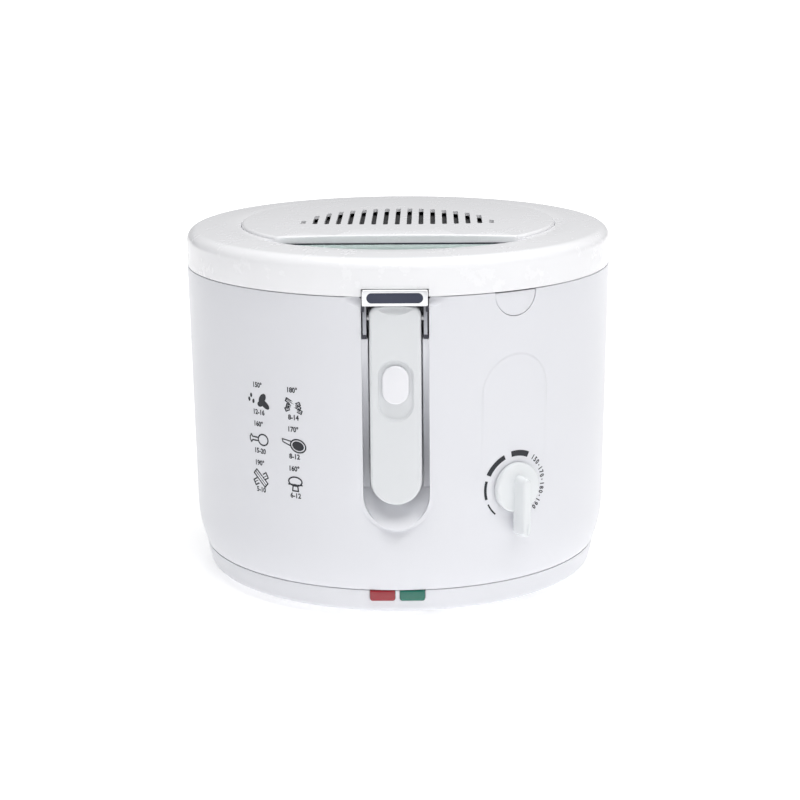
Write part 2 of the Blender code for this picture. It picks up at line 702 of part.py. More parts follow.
def make_rim_collar():
    outer = BODY_RADIUS - HOUSING_WALL - RUNNING_GAP
    top = FLANGE_TOP - BOWL_WALL - GAP
    inner = BOWL_RADIUS + BOWL_WALL + RUNNING_GAP
    lip = FLANGE_RADIUS + RUNNING_GAP
    profile = [
        (outer, top),
        (outer - COLLAR_DRAFT, top - COLLAR_SKIRT),
        (outer - COLLAR_WALL, top - COLLAR_SKIRT),
        (outer - COLLAR_WALL, top - COLLAR_WALL),
        (inner, top - COLLAR_WALL),
        (inner, top),
        (lip, top),
        (lip, top + LIP_HEIGHT),
        (lip + LIP_WIDTH, top + LIP_HEIGHT),
        (lip + LIP_WIDTH, top),
    ]
    collar = turned("rim_collar", profile)
    pocket_half = RECESS_HALF_WIDTH + RECESS_WALL + RUNNING_GAP
    pocket_back = -(RECESS_BACK - RECESS_WALL - RUNNING_GAP)
    low = top - COLLAR_SKIRT - CUT_PAST
    high = top + 2 * CUT_PAST
    bm = bmesh.new()
    add_box(bm, (-pocket_half, -BODY_RADIUS - 0.01, low), (pocket_half, pocket_back, high))
    hinge_half = HINGE_HALF_WIDTH + RUNNING_GAP
    hinge_front = HINGE_Y - KNUCKLE_RADIUS - RUNNING_GAP
    add_box(bm, (-hinge_half, hinge_front, low), (hinge_half, BODY_RADIUS + CUT_PAST, high))
    boolean(collar, as_cutter(bmesh_object("collar_notches", bm, CUTTERS)))
    strap_half = STRAP_HALF_WIDTH + RUNNING_GAP
    strap_low = (-strap_half, -BODY_RADIUS, top + GAP)
    strap_path = box("strap_path", strap_low, (strap_half, -BOWL_RADIUS, high), CUTTERS)
    boolean(collar, as_cutter(strap_path))
    half = RELEASE_RADIUS + CUT_SHORT
    slot = facing(
        prism("release_slot", [(-half, low), (half, low), (half, high), (-half, high)],
              HOOK_RADIUS - RELEASE_SLOT_DEPTH,
              BODY_RADIUS + CUT_PAST, CUTTERS),
        RELEASE_ANGLE,
    )
    boolean(collar, as_cutter(slot))
    finish(collar, WHITE)


def make_bowl():
    outer_corner = BOWL_CORNER + BOWL_WALL
    centre = (BOWL_RADIUS - BOWL_CORNER, BOWL_FLOOR + BOWL_CORNER)
    profile = [
        (FLANGE_RADIUS, FLANGE_TOP),
        (FLANGE_RADIUS, FLANGE_TOP - BOWL_WALL),
        (BOWL_RADIUS + BOWL_WALL, FLANGE_TOP - BOWL_WALL),
    ]
    profile += arc(centre, outer_corner, 0.0, -90.0, 4)
    profile += [(0.0, BOWL_FLOOR - BOWL_WALL), (0.0, BOWL_FLOOR)]
    profile += arc(centre, BOWL_CORNER, -90.0, 0.0, 4)
    profile += [(BOWL_RADIUS, FLANGE_TOP)]
    finish(turned("bowl", profile), COATED)


def lid_side():
    """The lid's outer side from the inset's edge down to its lower edge, outer side first from the top."""
    shoulder = BODY_RADIUS - LID_EDGE_RADIUS
    side = [(LID_INSET_RADIUS, LID_INSET_TOP)]
    side += arc((shoulder, LID_EDGE_TOP), LID_EDGE_RADIUS, 90.0, 0.0, 4)
    side += [(BODY_RADIUS, LID_BOTTOM)]
    return side


def make_lid_shell():
    floor = LID_INSET_FLOOR
    under = floor - LID_WALL
    shoulder = BODY_RADIUS - LID_EDGE_RADIUS
    profile = [(0.0, floor), (LID_INSET_RADIUS, floor)] + lid_side()
    profile += [(BODY_RADIUS - LID_WALL, LID_BOTTOM)]
    profile += arc((shoulder, LID_EDGE_TOP), LID_EDGE_RADIUS - LID_WALL, 0.0, 90.0, 3)
    profile += [
        (LID_INSET_RADIUS + LID_WALL, LID_INSET_TOP - LID_WALL),
        (LID_INSET_RADIUS + LID_WALL, under),
        (0.0, under),
    ]
    lid = turned("lid_shell", profile)
    lug = arc((HINGE_Y, HINGE_Z), LUG_RADIUS, 180.0, 360.0, 8)
    lug = [(HINGE_Y - LUG_RADIUS, LID_EDGE_TOP + LUG_ROOT)] + lug[:-1]
    lug += [(HINGE_Y + LUG_RADIUS, HINGE_Z), (HINGE_Y + LUG_BACK, LID_EDGE_TOP + LUG_ROOT)]
    half = HINGE_HALF_WIDTH + HINGE_NOTCH_GAP
    notch = box(
        "hinge_notch",
        (-half, HINGE_Y - KNUCKLE_RADIUS - HINGE_NOTCH_DEPTH, LID_BOTTOM - CUT_PAST),
        (half, BODY_RADIUS + CUT_PAST, HINGE_Z + KNUCKLE_RADIUS + 2 * RUNNING_GAP),
        CUTTERS,
    )
    boolean(lid, as_cutter(notch))
    for side in (-1, 1):
        low, high = sorted((side * LUG_INNER, side * LUG_OUTER))
        boolean(lid, as_cutter(across(prism(f"lug_{side}", lug, low, high, CUTTERS))), "UNION")
    boolean(lid, pin_hole("lug_bore", HINGE_Y, HINGE_Z, HINGE_HALF_WIDTH))
    half = PLATE_HALF_WIDTH + LOOSE_GAP
    notch = box(
        "bracket_notch",
        (-half, -BODY_RADIUS - 0.01, LID_BOTTOM - CUT_PAST),
        (half, -BODY_RADIUS + CUT_PAST, PLATE_TOP + GAP),
        CUTTERS,
    )
    boolean(lid, as_cutter(notch))
    slope = [
        (LID_INSET_RADIUS + BAY_WIDTH, LID_INSET_TOP + CUT_EDGE / 4),
        (LID_INSET_RADIUS + BAY_WIDTH, LID_INSET_TOP),
        (LID_INSET_RADIUS - CUT_EDGE / 4, LID_INSET_TOP - BAY_DEPTH),
        (LID_INSET_RADIUS - CUT_EDGE / 4, LID_INSET_TOP + CUT_EDGE / 4),
    ]
    bay = turned("window_bay", slope, collection=CUTTERS)
    behind = (-2 * BODY_RADIUS, -WINDOW_CHORD, LID_INSET_FLOOR - CUT_PAST)
    keep = box("bay_limit", behind, (2 * BODY_RADIUS, 2 * BODY_RADIUS, COVER_CROWN + CUT_PAST), CUTTERS)
    boolean(bay, as_cutter(keep))
    boolean(lid, as_cutter(bay))
    ledge = segment_outline(LID_INSET_RADIUS - WINDOW_LEDGE, WINDOW_CHORD + WINDOW_LEDGE)
    boolean(lid, as_cutter(prism("window_opening", ledge, under - CUT_WALL, floor + CUT_WALL, CUTTERS)))
    vent_low = (0.0, FILTER_CENTRE, under - CUT_WALL)
    vent_high = (0.0, FILTER_CENTRE, floor + CUT_WALL)
    vent = rod("vent_opening", VENT_RADIUS, vent_low, vent_high, CUTTERS, 32)
    boolean(lid, as_cutter(vent))
    finish(lid, WHITE)


def segment_outline(radius, chord, steps=20):
    """A circle's front segment, cut off by a chord at y = -chord."""
    half_angle = math.degrees(math.acos(chord / radius))
    return arc((0.0, 0.0), radius, 270.0 - half_angle, 270.0 + half_angle, steps)


def make_windows():
    glass = segment_outline(LID_INSET_RADIUS - LOOSE_GAP, WINDOW_CHORD + GAP)
    finish(prism("window_glass", glass, LID_INSET_FLOOR + GAP, WINDOW_TOP), GLASS)
    radius = BOWL_RADIUS - INNER_PANE_MARGIN
    pane = segment_outline(radius, WINDOW_CHORD)
    low = INNER_LID_HEIGHT + INNER_LID_WALL + GAP
    finish(prism("window_inner", pane, low, low + INNER_PANE), GLASS)


def cover_solid(name, margin, lift, collection):
    """The filter cover's filled shape, shrunk by a wall."""
    radius = LID_INSET_RADIUS - RUNNING_GAP - margin
    edge = COVER_TOP - margin - CUT_SHORT
    profile = [
        (0.0, COVER_CROWN - margin),
        (radius * 0.5, COVER_CROWN - margin - COVER_SAG),
        (radius - CUT_SHORT, COVER_TOP - margin),
        (radius, edge),
        (radius, LID_INSET_FLOOR + GAP - lift),
        (0.0, LID_INSET_FLOOR + GAP - lift),
    ]
    solid = turned(name, profile, closed=False, collection=collection)
    front = box(
        name + "_front",
        (-2 * BODY_RADIUS, -2 * BODY_RADIUS, LID_INSET_FLOOR - CUT_PAST),
        (2 * BODY_RADIUS, -WINDOW_CHORD + margin, COVER_CROWN + CUT_PAST),
        CUTTERS,
    )
    boolean(solid, as_cutter(front))
    return solid


def make_filter_cover():
    cover = cover_solid("filter_cover", 0.0, 0.0, PARTS)
    boolean(cover, as_cutter(cover_solid("cover_inside", COVER_WALL, CUT_SHORT, CUTTERS)))
    bm = bmesh.new()
    outermost = (SLOT_COUNT - 1) / 2 * SLOT_PITCH
    for index in range(SLOT_COUNT):
        x = (index - (SLOT_COUNT - 1) / 2) * SLOT_PITCH
        front = SLOT_BASELINE + SLOT_BASELINE_RISE * (x / outermost) ** 2
        back = SLOT_FIELD_CENTRE + math.sqrt(SLOT_FIELD_RADIUS**2 - x * x)
        half = SLOT_WIDTH / 2
        add_box(bm, (x - half, front, COVER_TOP - 3 * COVER_WALL), (x + half, back, COVER_CROWN + CUT_EDGE))
    boolean(cover, as_cutter(bmesh_object("vent_slots", bm, CUTTERS)))
    finish(cover, WHITE)


def make_filters():
    low = LID_INSET_FLOOR + GAP
    mesh_top = low + GREASE_MESH_THICKNESS
    centre = (0.0, FILTER_CENTRE)
    radius = VENT_RADIUS + FILTER_SEAT
    finish(prism("grease_mesh", arc(centre, radius, 0.0, 350.0, 35), low, mesh_top), STEEL)
    pad_low = mesh_top + GAP
    round_pad = arc(centre, FILTER_RADIUS, 0.0, 350.0, 35)
    pad = prism("filter_pad", round_pad, pad_low, pad_low + FILTER_THICKNESS)
    finish(pad, FOAM)


def make_inner_lid():
    top = INNER_LID_HEIGHT + INNER_LID_WALL
    rim = INNER_LID_RADIUS
    profile = [
        (0.0, top),
        (rim - INNER_LID_WALL, top),
        (rim - INNER_LID_WALL, top + INNER_LID_RIM),
        (rim, top + INNER_LID_RIM),
        (rim, INNER_LID_HEIGHT),
        (0.0, INNER_LID_HEIGHT),
    ]
    plate = turned("inner_lid", profile, closed=False)
    opening = segment_outline(BOWL_RADIUS - INNER_PANE_MARGIN - WINDOW_LEDGE, WINDOW_CHORD + WINDOW_LEDGE)
    low = INNER_LID_HEIGHT - CUT_EDGE
    boolean(plate, as_cutter(prism("inner_window", opening, low, top + CUT_EDGE, CUTTERS)))
    bm = bmesh.new()
    for ring, count in ((0.0, 1), (STEAM_RING, 6), (STEAM_OUTER_RING, 8)):
        for index in range(count):
            angle = 2 * math.pi * index / count
            hole = bmesh.ops.create_cone(
                bm, cap_ends=True, segments=8, radius1=STEAM_HOLE, radius2=STEAM_HOLE, depth=0.02
            )
            place = (ring * math.cos(angle), FILTER_CENTRE + ring * math.sin(angle), top)
            bmesh.ops.translate(bm, vec=place, verts=hole["verts"])
    boolean(plate, as_cutter(bmesh_object("steam_holes", bm, CUTTERS)))
    finish(plate, STEEL)


def make_lid_seal():
    outer = FLANGE_RADIUS - RUNNING_GAP
    inner = outer - SEAL_WIDTH
    top = INNER_LID_HEIGHT - GAP
    bottom = FLANGE_TOP + GAP
    profile = [(outer, top), (outer - SEAL_TAPER, bottom + SEAL_EDGE), (outer - 2 * SEAL_TAPER, bottom)]
    profile += [(inner + 2 * SEAL_TAPER, bottom), (inner + SEAL_TAPER, bottom + SEAL_EDGE), (inner, top)]
    seal = turned("lid_seal", profile)
    half = STRAP_HALF_WIDTH + SEAL_NOTCH_GAP
    notch = box(
        "strap_notch",
        (-half, -FLANGE_RADIUS - CUT_PAST, bottom - CUT_SHORT),
        (half, -inner + 0.01, STRAP_LOW + BRACKET_SHEET + GAP),
        CUTTERS,
    )
    boolean(seal, as_cutter(notch))
    finish(seal, SILICONE)


def block_outline(half_width, low, high):
    return [(-half_width, low), (half_width, low), (half_width, high), (-half_width, high)]


def make_lid_hook():
    """A flat hook under the lid, whose nose points outwards below the release button's catch."""
    top = LID_EDGE_TOP + LID_EDGE_RADIUS - LID_WALL - GAP
    face = HOOK_RADIUS + HOOK_THICKNESS
    hook = facing(
        prism("lid_hook", block_outline(HOOK_HALF_WIDTH, HOOK_FOOT, top), HOOK_RADIUS, face), RELEASE_ANGLE
    )
    tip = block_outline(HOOK_HALF_WIDTH - HOOK_NOSE_OVERLAP, HOOK_FOOT, HOOK_FOOT + HOOK_NOSE_HEIGHT)
    nose = prism("hook_nose", tip, face - HOOK_NOSE_OVERLAP, face + HOOK_NOSE_OVERLAP, CUTTERS)
    nose = facing(nose, RELEASE_ANGLE)
    boolean(hook, as_cutter(nose), "UNION")
    finish(hook, WHITE)


def make_release_button():
    outer = BODY_RADIUS - RUNNING_GAP
    inner = outer - RELEASE_THICKNESS
    button = facing(prism("release_button", half_disc(RELEASE_RADIUS), inner, outer), RELEASE_ANGLE)
    button.location = (0.0, 0.0, RELEASE_TOP)
    bar = block_outline(RELEASE_STEM_HALF_WIDTH, -RELEASE_STEM_FOOT, -RELEASE_STEM_HEAD)
    stem = prism("release_stem", bar, HOOK_RADIUS + RELEASE_STEM_START, inner + LEDGE_ROOT, CUTTERS)
    stem = facing(stem, RELEASE_ANGLE)
    stem.location = (0.0, 0.0, RELEASE_TOP)
    boolean(button, as_cutter(stem), "UNION")
    finish(button, WHITE)


def make_bracket():
    """Front plate, two cheeks, a strap over the rim and a tongue down inside the bowl, in one sheet part."""
    top = STRAP_LOW + BRACKET_SHEET
    tongue_back = -TONGUE_Y + BRACKET_SHEET
    plate_back = -(BRACKET_FRONT - PLATE_THICKNESS)
    plate_low = (-PLATE_HALF_WIDTH, -BRACKET_FRONT, PLATE_BOTTOM)
    plate = box("handle_bracket", plate_low, (PLATE_HALF_WIDTH, plate_back, PLATE_TOP))
    strap_low = (-STRAP_HALF_WIDTH, plate_back - STRAP_LAP, STRAP_LOW)
    strap = box("strap", strap_low, (STRAP_HALF_WIDTH, tongue_back, top), CUTTERS)
    boolean(plate, as_cutter(strap), "UNION")
    tongue = box("tongue", (-TONGUE_HALF_WIDTH, -TONGUE_Y, TONGUE_BOTTOM),
                 (TONGUE_HALF_WIDTH, tongue_back, top - STRAP_STEP), CUTTERS)
    boolean(plate, as_cutter(tongue), "UNION")
    for side in (-1, 1):
        outer = PLATE_HALF_WIDTH - GAP
        low_x, high_x = sorted((side * outer, side * (outer - CHEEK_THICKNESS)))
        cheek_low = (low_x, plate_back - CHEEK_LAP, CHEEK_BOTTOM)
        cheek = box(f"cheek_{side}", cheek_low, (high_x, -CHEEK_BACK, top), CUTTERS)
        boolean(plate, as_cutter(cheek), "UNION")
    boolean(plate, pin_hole("cheek_bore", -HANDLE_PIN_Y, HANDLE_PIN_Z, PLATE_HALF_WIDTH))
    finish(plate, CHROME)


def handle_outline(margin, top):
    """The handle from the front: half-round lower end and rounded upper corners."""
    half = HANDLE_HALF_WIDTH - margin
    corner = max(HANDLE_CORNER - margin, HANDLE_LEAST_CORNER)
    outline = arc((0.0, HANDLE_BOTTOM + HANDLE_HALF_WIDTH), half, 180.0, 360.0, 14)
    outline += arc((half - corner, top - corner), corner, 0.0, 90.0, 3)
    outline += arc((-half + corner, top - corner), corner, 90.0, 180.0, 3)
    return outline


def handle_pivot():
    pivot = bpy.data.objects.new("handle_axis", None)
    PARTS.objects.link(pivot)
    pivot.location = (0.0, -HANDLE_PIN_Y, HANDLE_PIN_Z)
    return pivot


def on_pivot(item, pivot):
    """Hangs a piece on the pivot without moving it."""
    item.parent = pivot
    item.location = Vector(item.location) - Vector(pivot.location)
    return item


def make_handle():
    pivot = handle_pivot()
    back = HANDLE_FRONT - HANDLE_DEPTH
    grip = facing(prism("handle_grip", handle_outline(0.0, HANDLE_TOP), back, HANDLE_FRONT))
    bevel(grip, HANDLE_ROUNDING, 3)
    pocket_top = HANDLE_PIN_Z - PIN_BOSS
    room = handle_outline(HANDLE_WALL, pocket_top)
    hollow = facing(prism("handle_hollow", room, back - CUT_SHORT, HANDLE_FRONT - HANDLE_WALL, CUTTERS))
    thumb = facing(
        prism("thumb_recess", stadium(THUMB_HALF_WIDTH, THUMB_BOTTOM, THUMB_TOP), HANDLE_FRONT - THUMB_DEPTH,
              HANDLE_FRONT + CUT_WALL, CUTTERS)
    )
    slot_half = STEM_HALF_WIDTH + LOOSE_GAP
    slot_low = (-slot_half, -HANDLE_FRONT - CUT_SHORT / 2, STEM_BOTTOM - BUTTON_TRAVEL - LOOSE_GAP)
    slot_high = (slot_half, -HANDLE_FRONT + CUT_WALL + CUT_SHORT / 2, STEM_TOP + LOOSE_GAP)
    slot = box("stem_slot", slot_low, slot_high, CUTTERS)
    for cutter in (hollow, thumb, slot):
        boolean(grip, as_cutter(cutter))
    boolean(grip, pin_hole("handle_bore", -HANDLE_PIN_Y, HANDLE_PIN_Z, HANDLE_HALF_WIDTH))
    cover = facing(
        prism("handle_back", handle_outline(HANDLE_WALL + GAP, pocket_top - GAP), back, back + HANDLE_WALL)
    )
    rib_low = (-STEM_HALF_WIDTH, -HANDLE_FRONT + HANDLE_WALL + RIB_FRONT, SPRING_REST - GAP - RIB_THICKNESS)
    rib_high = (STEM_HALF_WIDTH, -back - HANDLE_WALL + RIB_ROOT, SPRING_REST - GAP)
    rib = box("spring_rib", rib_low, rib_high, CUTTERS)
    boolean(cover, as_cutter(rib), "UNION")
    for piece in (grip, cover):
        finish(on_pivot(piece, pivot), WHITE)
    head_back = HANDLE_FRONT - THUMB_DEPTH + GAP
    oval = stadium(BUTTON_HALF_WIDTH, BUTTON_BOTTOM, BUTTON_TOP)
    button = facing(prism("lock_button", oval, head_back, HANDLE_FRONT + BUTTON_PROUD))
    bar_back = -HANDLE_FRONT + LOCK_BAR_BACK
    stem_low = (-STEM_HALF_WIDTH, -head_back - STRAP_STEP, STEM_BOTTOM)
    stem = box("lock_stem", stem_low, (STEM_HALF_WIDTH, bar_back - CHEEK_LAP, STEM_TOP), CUTTERS)
    boolean(button, as_cutter(stem), "UNION")
    bar_low = (-STEM_HALF_WIDTH, bar_back - LOCK_BAR_THICKNESS, LOCK_BAR_LOW)
    bar = box("lock_bar", bar_low, (STEM_HALF_WIDTH, bar_back, STEM_TOP), CUTTERS)
    boolean(button, as_cutter(bar), "UNION")
    finish(on_pivot(button, pivot), WHITE)
    turns = coil(SPRING_REST, SPRING_REST + SPRING_LENGTH, SPRING_RADIUS, 4)
    spring = tube_material(tube("lock_spring", turns, SPRING_WIRE), STEEL)
    spring.location = (0.0, bar_back - LOCK_BAR_THICKNESS / 2, 0.0)
    on_pivot(spring, pivot)
    half = PLATE_HALF_WIDTH - RUNNING_GAP
    left = (-half, -HANDLE_PIN_Y, HANDLE_PIN_Z)
    pin = rod("handle_pin", PIN_RADIUS, left, (half, -HANDLE_PIN_Y, HANDLE_PIN_Z))
    finish(pin, STEEL)


def coil(low, high, radius, turns, steps=8):
    points = []
    for step in range(turns * steps + 1):
        angle = 2 * math.pi * step / steps
        height = low + SPRING_WIRE + (high - low - 2 * SPRING_WIRE) * step / (turns * steps)
        points.append((radius * math.cos(angle), radius * math.sin(angle), height))
    return points


def make_basket():
    centre = (BASKET_FOOT_RADIUS - BASKET_CORNER, BASKET_BOTTOM + BASKET_CORNER)
    inner = BASKET_CORNER - BASKET_WALL
    profile = [(BASKET_RADIUS, BASKET_TOP)]
    profile += arc(centre, BASKET_CORNER, 0.0, -90.0, 3)
    profile += [(0.0, BASKET_BOTTOM), (0.0, BASKET_BOTTOM + BASKET_WALL)]
    profile += arc(centre, inner, -90.0, 0.0, 3)
    profile += [(BASKET_RADIUS - BASKET_WALL, BASKET_TOP)]
    finish(turned("basket_mesh", profile, sides=36), STEEL)
    ring = []
    height = BASKET_TOP + RIM_WIRE_RADIUS + GAP
    for step in range(36):
        angle = 2 * math.pi * step / 36
        ring.append(at_angle(angle, BASKET_RADIUS, height))
    tube_material(tube("basket_rim", ring, RIM_WIRE_RADIUS, cyclic=True), STEEL)
    back = -(BASKET_RADIUS + RIM_WIRE_RADIUS + LOOSE_GAP)
    front = -(TONGUE_Y - BRACKET_SHEET - RUNNING_GAP)
    hanger_low = (-HANGER_HALF_WIDTH, front, HANGER_BOTTOM)
    hanger = box("basket_hanger", hanger_low, (HANGER_HALF_WIDTH, back, HANGER_TOP))
    for side in (-1, 1):
        low, high = sorted((side * (TONGUE_HALF_WIDTH + RUNNING_GAP), side * HANGER_HALF_WIDTH))
        lip_low = (low, front - HANGER_LIP_DEPTH, HANGER_BOTTOM + HANGER_LIP_STEP)
        lip = box(f"hanger_lip_{side}", lip_low, (high, front + HANGER_LIP_LAP, HANGER_LIP_TOP), CUTTERS)
        boolean(hanger, as_cutter(lip), "UNION")
    finish(hanger, STEEL)


def make_dial():
    axis = bpy.data.objects.new("dial_axis", None)
    PARTS.objects.link(axis)
    wall = body_radius_at(DIAL_HEIGHT)
    axis.location = at_angle(DIAL_ANGLE, wall, DIAL_HEIGHT)
    axis.rotation_euler = (math.radians(90.0), 0.0, DIAL_ANGLE)
    face = DIAL_GAP + DIAL_DISC_THICKNESS
    disc = prism("dial_knob", arc((0.0, 0.0), DIAL_RADIUS, 0.0, 350.0, 35), DIAL_GAP, face)
    bar = stadium(DIAL_GRIP_HALF_WIDTH, -DIAL_GRIP_BOTTOM, DIAL_GRIP_TOP, 6)
    grip = prism("dial_grip", bar, face - GRIP_LAP, DIAL_GRIP_HEIGHT, CUTTERS)
    boolean(disc, as_cutter(grip), "UNION")
    socket = rod("dial_socket", SHAFT_RADIUS + GAP, (0, 0, -CUT_WALL), (0, 0, face + SOCKET_DEPTH), CUTTERS)
    boolean(disc, as_cutter(socket))
    finish(disc, WHITE)
    tip = (0, 0, face + SOCKET_DEPTH - LOOSE_GAP)
    shaft = rod("thermostat_shaft", SHAFT_RADIUS, (0, 0, -SHAFT_TAIL), tip)
    finish(shaft, STEEL)
    for piece in (disc, grip, socket, shaft):
        piece.parent = axis


def make_thermostat():
    outer = body_radius_at(DIAL_HEIGHT) - SHAFT_TAIL - LOOSE_GAP
    outline = block_outline(THERMOSTAT_HALF_WIDTH, -THERMOSTAT_HALF_HEIGHT, THERMOSTAT_HALF_HEIGHT)
    body = facing(prism("thermostat_body", outline, outer - THERMOSTAT_DEPTH, outer), DIAL_ANGLE)
    body.location = (0.0, 0.0, DIAL_HEIGHT)
    finish(body, STEEL)
    start_height = DIAL_HEIGHT - THERMOSTAT_HALF_HEIGHT - CAPILLARY_DROP
    start = at_angle(DIAL_ANGLE, outer - THERMOSTAT_DEPTH / 2, start_height)
    middle_height = SHIELD_HEIGHT + SHIELD_RIM + CAPILLARY_LIFT
    middle = at_angle(DIAL_ANGLE, ELEMENT_RADIUS + CAPILLARY_OUTSET, middle_height)
    end = at_angle(DIAL_ANGLE, BULB_REACH, BOWL_FLOOR - BOWL_WALL - BULB_DROP)
    points = []
    for step in range(13):
        share = step / 12
        points.append(start * (1 - share) ** 2 + middle * 2 * share * (1 - share) + end * share**2)
    tube_material(tube("capillary_tube", points, CAPILLARY_RADIUS), COPPER)


def make_heating():
    height = BOWL_FLOOR - BOWL_WALL - ELEMENT_TUBE_RADIUS - GAP
    points = []
    for step in range(33):
        angle = math.radians(-150.0 + 300.0 * step / 32)
        points.append(at_angle(angle, ELEMENT_RADIUS, height))
    first = Vector(points[0])
    last = Vector(points[-1])
    drop = Vector((0.0, 0.0, -ELEMENT_TAIL))
    tail = drop + Vector((0.0, ELEMENT_TAIL_OUT, 0.0))
    bend = Vector((0.0, ELEMENT_BEND_OUT, -ELEMENT_BEND_DROP))
    points = [first + tail, first + bend] + points + [last + bend, last + tail]
    tube_material(tube("heating_element", points, ELEMENT_TUBE_RADIUS), STEEL)
    profile = [
        (SHIELD_RADIUS, SHIELD_HEIGHT + SHIELD_RIM),
        (SHIELD_RADIUS - SHIELD_CORNER, SHIELD_HEIGHT),
        (0.0, SHIELD_HEIGHT),
        (0.0, SHIELD_HEIGHT + SHIELD_SHEET),
        (SHIELD_RADIUS - SHIELD_CORNER - SHIELD_SHEET, SHIELD_HEIGHT + SHIELD_SHEET),
        (SHIELD_RADIUS - SHIELD_SHEET, SHIELD_HEIGHT + SHIELD_RIM),
    ]
    finish(turned("heat_shield", profile, sides=36), STEEL)
    top = BOWL_FLOOR - BOWL_WALL - GAP
    foot = (CUTOUT_X, CUTOUT_Y, top - CUTOUT_HEIGHT)
    finish(rod("thermal_cutout", CUTOUT_RADIUS, foot, (CUTOUT_X, CUTOUT_Y, top)), BLACK)


def make_electrics():
    floor = PAN_BOTTOM + PAN_WALL + GAP
    high = (TERMINAL_HALF, TERMINAL_BACK, floor + TERMINAL_HEIGHT)
    finish(box("terminal_block", (-TERMINAL_HALF, TERMINAL_FRONT, floor), high), BLACK)
    wall = body_radius_at(GLAND_HEIGHT)
    profile = [
        (GLAND_BORE, wall + GLAND_LIP),
        (GLAND_RADIUS + GLAND_LIP_WIDTH, wall + GLAND_LIP),
        (GLAND_RADIUS + GLAND_LIP_WIDTH, wall + GAP),
        (GLAND_RADIUS, wall + GAP),
        (GLAND_RADIUS, wall - HOUSING_WALL - GLAND_TAIL),
        (GLAND_BORE, wall - HOUSING_WALL - GLAND_TAIL),
    ]
    gland = turned("cord_gland", profile, sides=SMALL_ROUND)
    gland.rotation_euler = (math.radians(-90.0), 0.0, 0.0)
    gland.location = (0.0, 0.0, GLAND_HEIGHT)
    finish(gland, RUBBER)
    low = lens_bottom()
    for side, name, material in ((-1, "red", RED), (1, "green", GREEN)):
        centre = side * (LENS_WIDTH + LENS_SPACING) / 2
        half = LENS_WIDTH / 2
        front = -SEAM_RADIUS + LENS_SETBACK
        lens_low = (centre - half, front, low)
        lens = box(f"lens_{name}", lens_low, (centre + half, front + LENS_DEPTH, low + LENS_HEIGHT))
        finish(lens, material)
        height = low + LENS_HEIGHT / 2
        back = front + LENS_DEPTH + LENS_NEON_GAP
        tip = (centre, back + NEON_LENGTH, height)
        neon = rod(f"neon_{name}", NEON_RADIUS, (centre, back, height), tip, sides=12)
        finish(neon, NEON)
    half = LENS_WIDTH + LENS_SPACING
    back = -SEAM_RADIUS + LENS_DEPTH + HOLDER_GAP
    holder = box("lamp_holder", (-half, back, floor), (half, back + HOLDER_THICKNESS, low + LENS_HEIGHT))
    for side in (-1, 1):
        centre = side * (LENS_WIDTH + LENS_SPACING) / 2
        height = low + LENS_HEIGHT / 2
        inward = (centre, back - 0.01, height)
        outward = (centre, back + 0.01, height)
        hole = rod(f"neon_hole_{side}", NEON_RADIUS + GAP, inward, outward, CUTTERS, 12)
        boolean(holder, as_cutter(hole))
    finish(holder, BLACK)
    half = HINGE_HALF_WIDTH - LOOSE_GAP
    pin = rod("lid_hinge_pin", PIN_RADIUS, (-half, HINGE_Y, HINGE_Z), (half, HINGE_Y, HINGE_Z))
    finish(pin, STEEL)


make_housing()
make_base_pan()
make_feet_and_screws()
make_rim_collar()
make_bowl()
make_lid_shell()
make_windows()
make_filter_cover()
make_filters()
make_inner_lid()
make_lid_seal()
make_lid_hook()
make_release_button()
make_bracket()
make_handle()
make_basket()
make_dial()
make_thermostat()
make_heating()
make_electrics()
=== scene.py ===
import math

import bmesh
import bpy
from mathutils import Matrix, Vector


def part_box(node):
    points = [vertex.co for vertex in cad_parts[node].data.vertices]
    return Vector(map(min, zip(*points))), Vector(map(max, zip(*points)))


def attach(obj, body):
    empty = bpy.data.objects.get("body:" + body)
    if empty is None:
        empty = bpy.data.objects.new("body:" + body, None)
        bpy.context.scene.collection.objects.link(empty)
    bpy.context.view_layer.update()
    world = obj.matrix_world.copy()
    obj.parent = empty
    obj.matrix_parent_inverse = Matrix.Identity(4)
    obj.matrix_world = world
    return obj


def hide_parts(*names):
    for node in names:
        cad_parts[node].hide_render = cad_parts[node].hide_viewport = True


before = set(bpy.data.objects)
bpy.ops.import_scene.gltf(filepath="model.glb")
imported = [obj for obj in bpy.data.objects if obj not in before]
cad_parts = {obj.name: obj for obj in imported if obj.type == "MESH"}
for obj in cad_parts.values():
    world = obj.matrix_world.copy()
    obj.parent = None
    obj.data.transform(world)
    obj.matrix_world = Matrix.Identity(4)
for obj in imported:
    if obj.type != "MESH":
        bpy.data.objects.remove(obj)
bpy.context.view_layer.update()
scene = bpy.context.scene
scene.view_settings.view_transform = "Standard"

# Sizes of the fryer, in metres, as its frame has them
DRUM_TOP = 0.1971
DRUM_RADIUS = 0.1325
WAIST_RADIUS = 0.1301
WAIST_HEIGHT = 0.0470
SEAM_RADIUS = 0.1247
SEAM_HEIGHT = 0.0193
WALL = 0.0025
RECESS_HALF = 0.0195
RECESS_LOW = 0.0590
RECESS_BACK = 0.1105
LID_LOW = 0.1975
LID_SHOULDER = 0.2125
LID_ROUND = 0.0070
LID_TOP = 0.2205
INSET_RADIUS = 0.0986
INSET_FLOOR = 0.2122
GLASS_CHORD = 0.0660
HINGE_Y = 0.1280
HINGE_Z = 0.2030
HANDLE_HALF = 0.0150
HANDLE_LOW = 0.0739
HANDLE_HIGH = 0.1917
HANDLE_FACE = 0.1324
HANDLE_BACK = 0.1195
DIAL_ANGLE = math.radians(32.5)
DIAL_HEIGHT = 0.0790
RELEASE_ANGLE = math.radians(32.0)
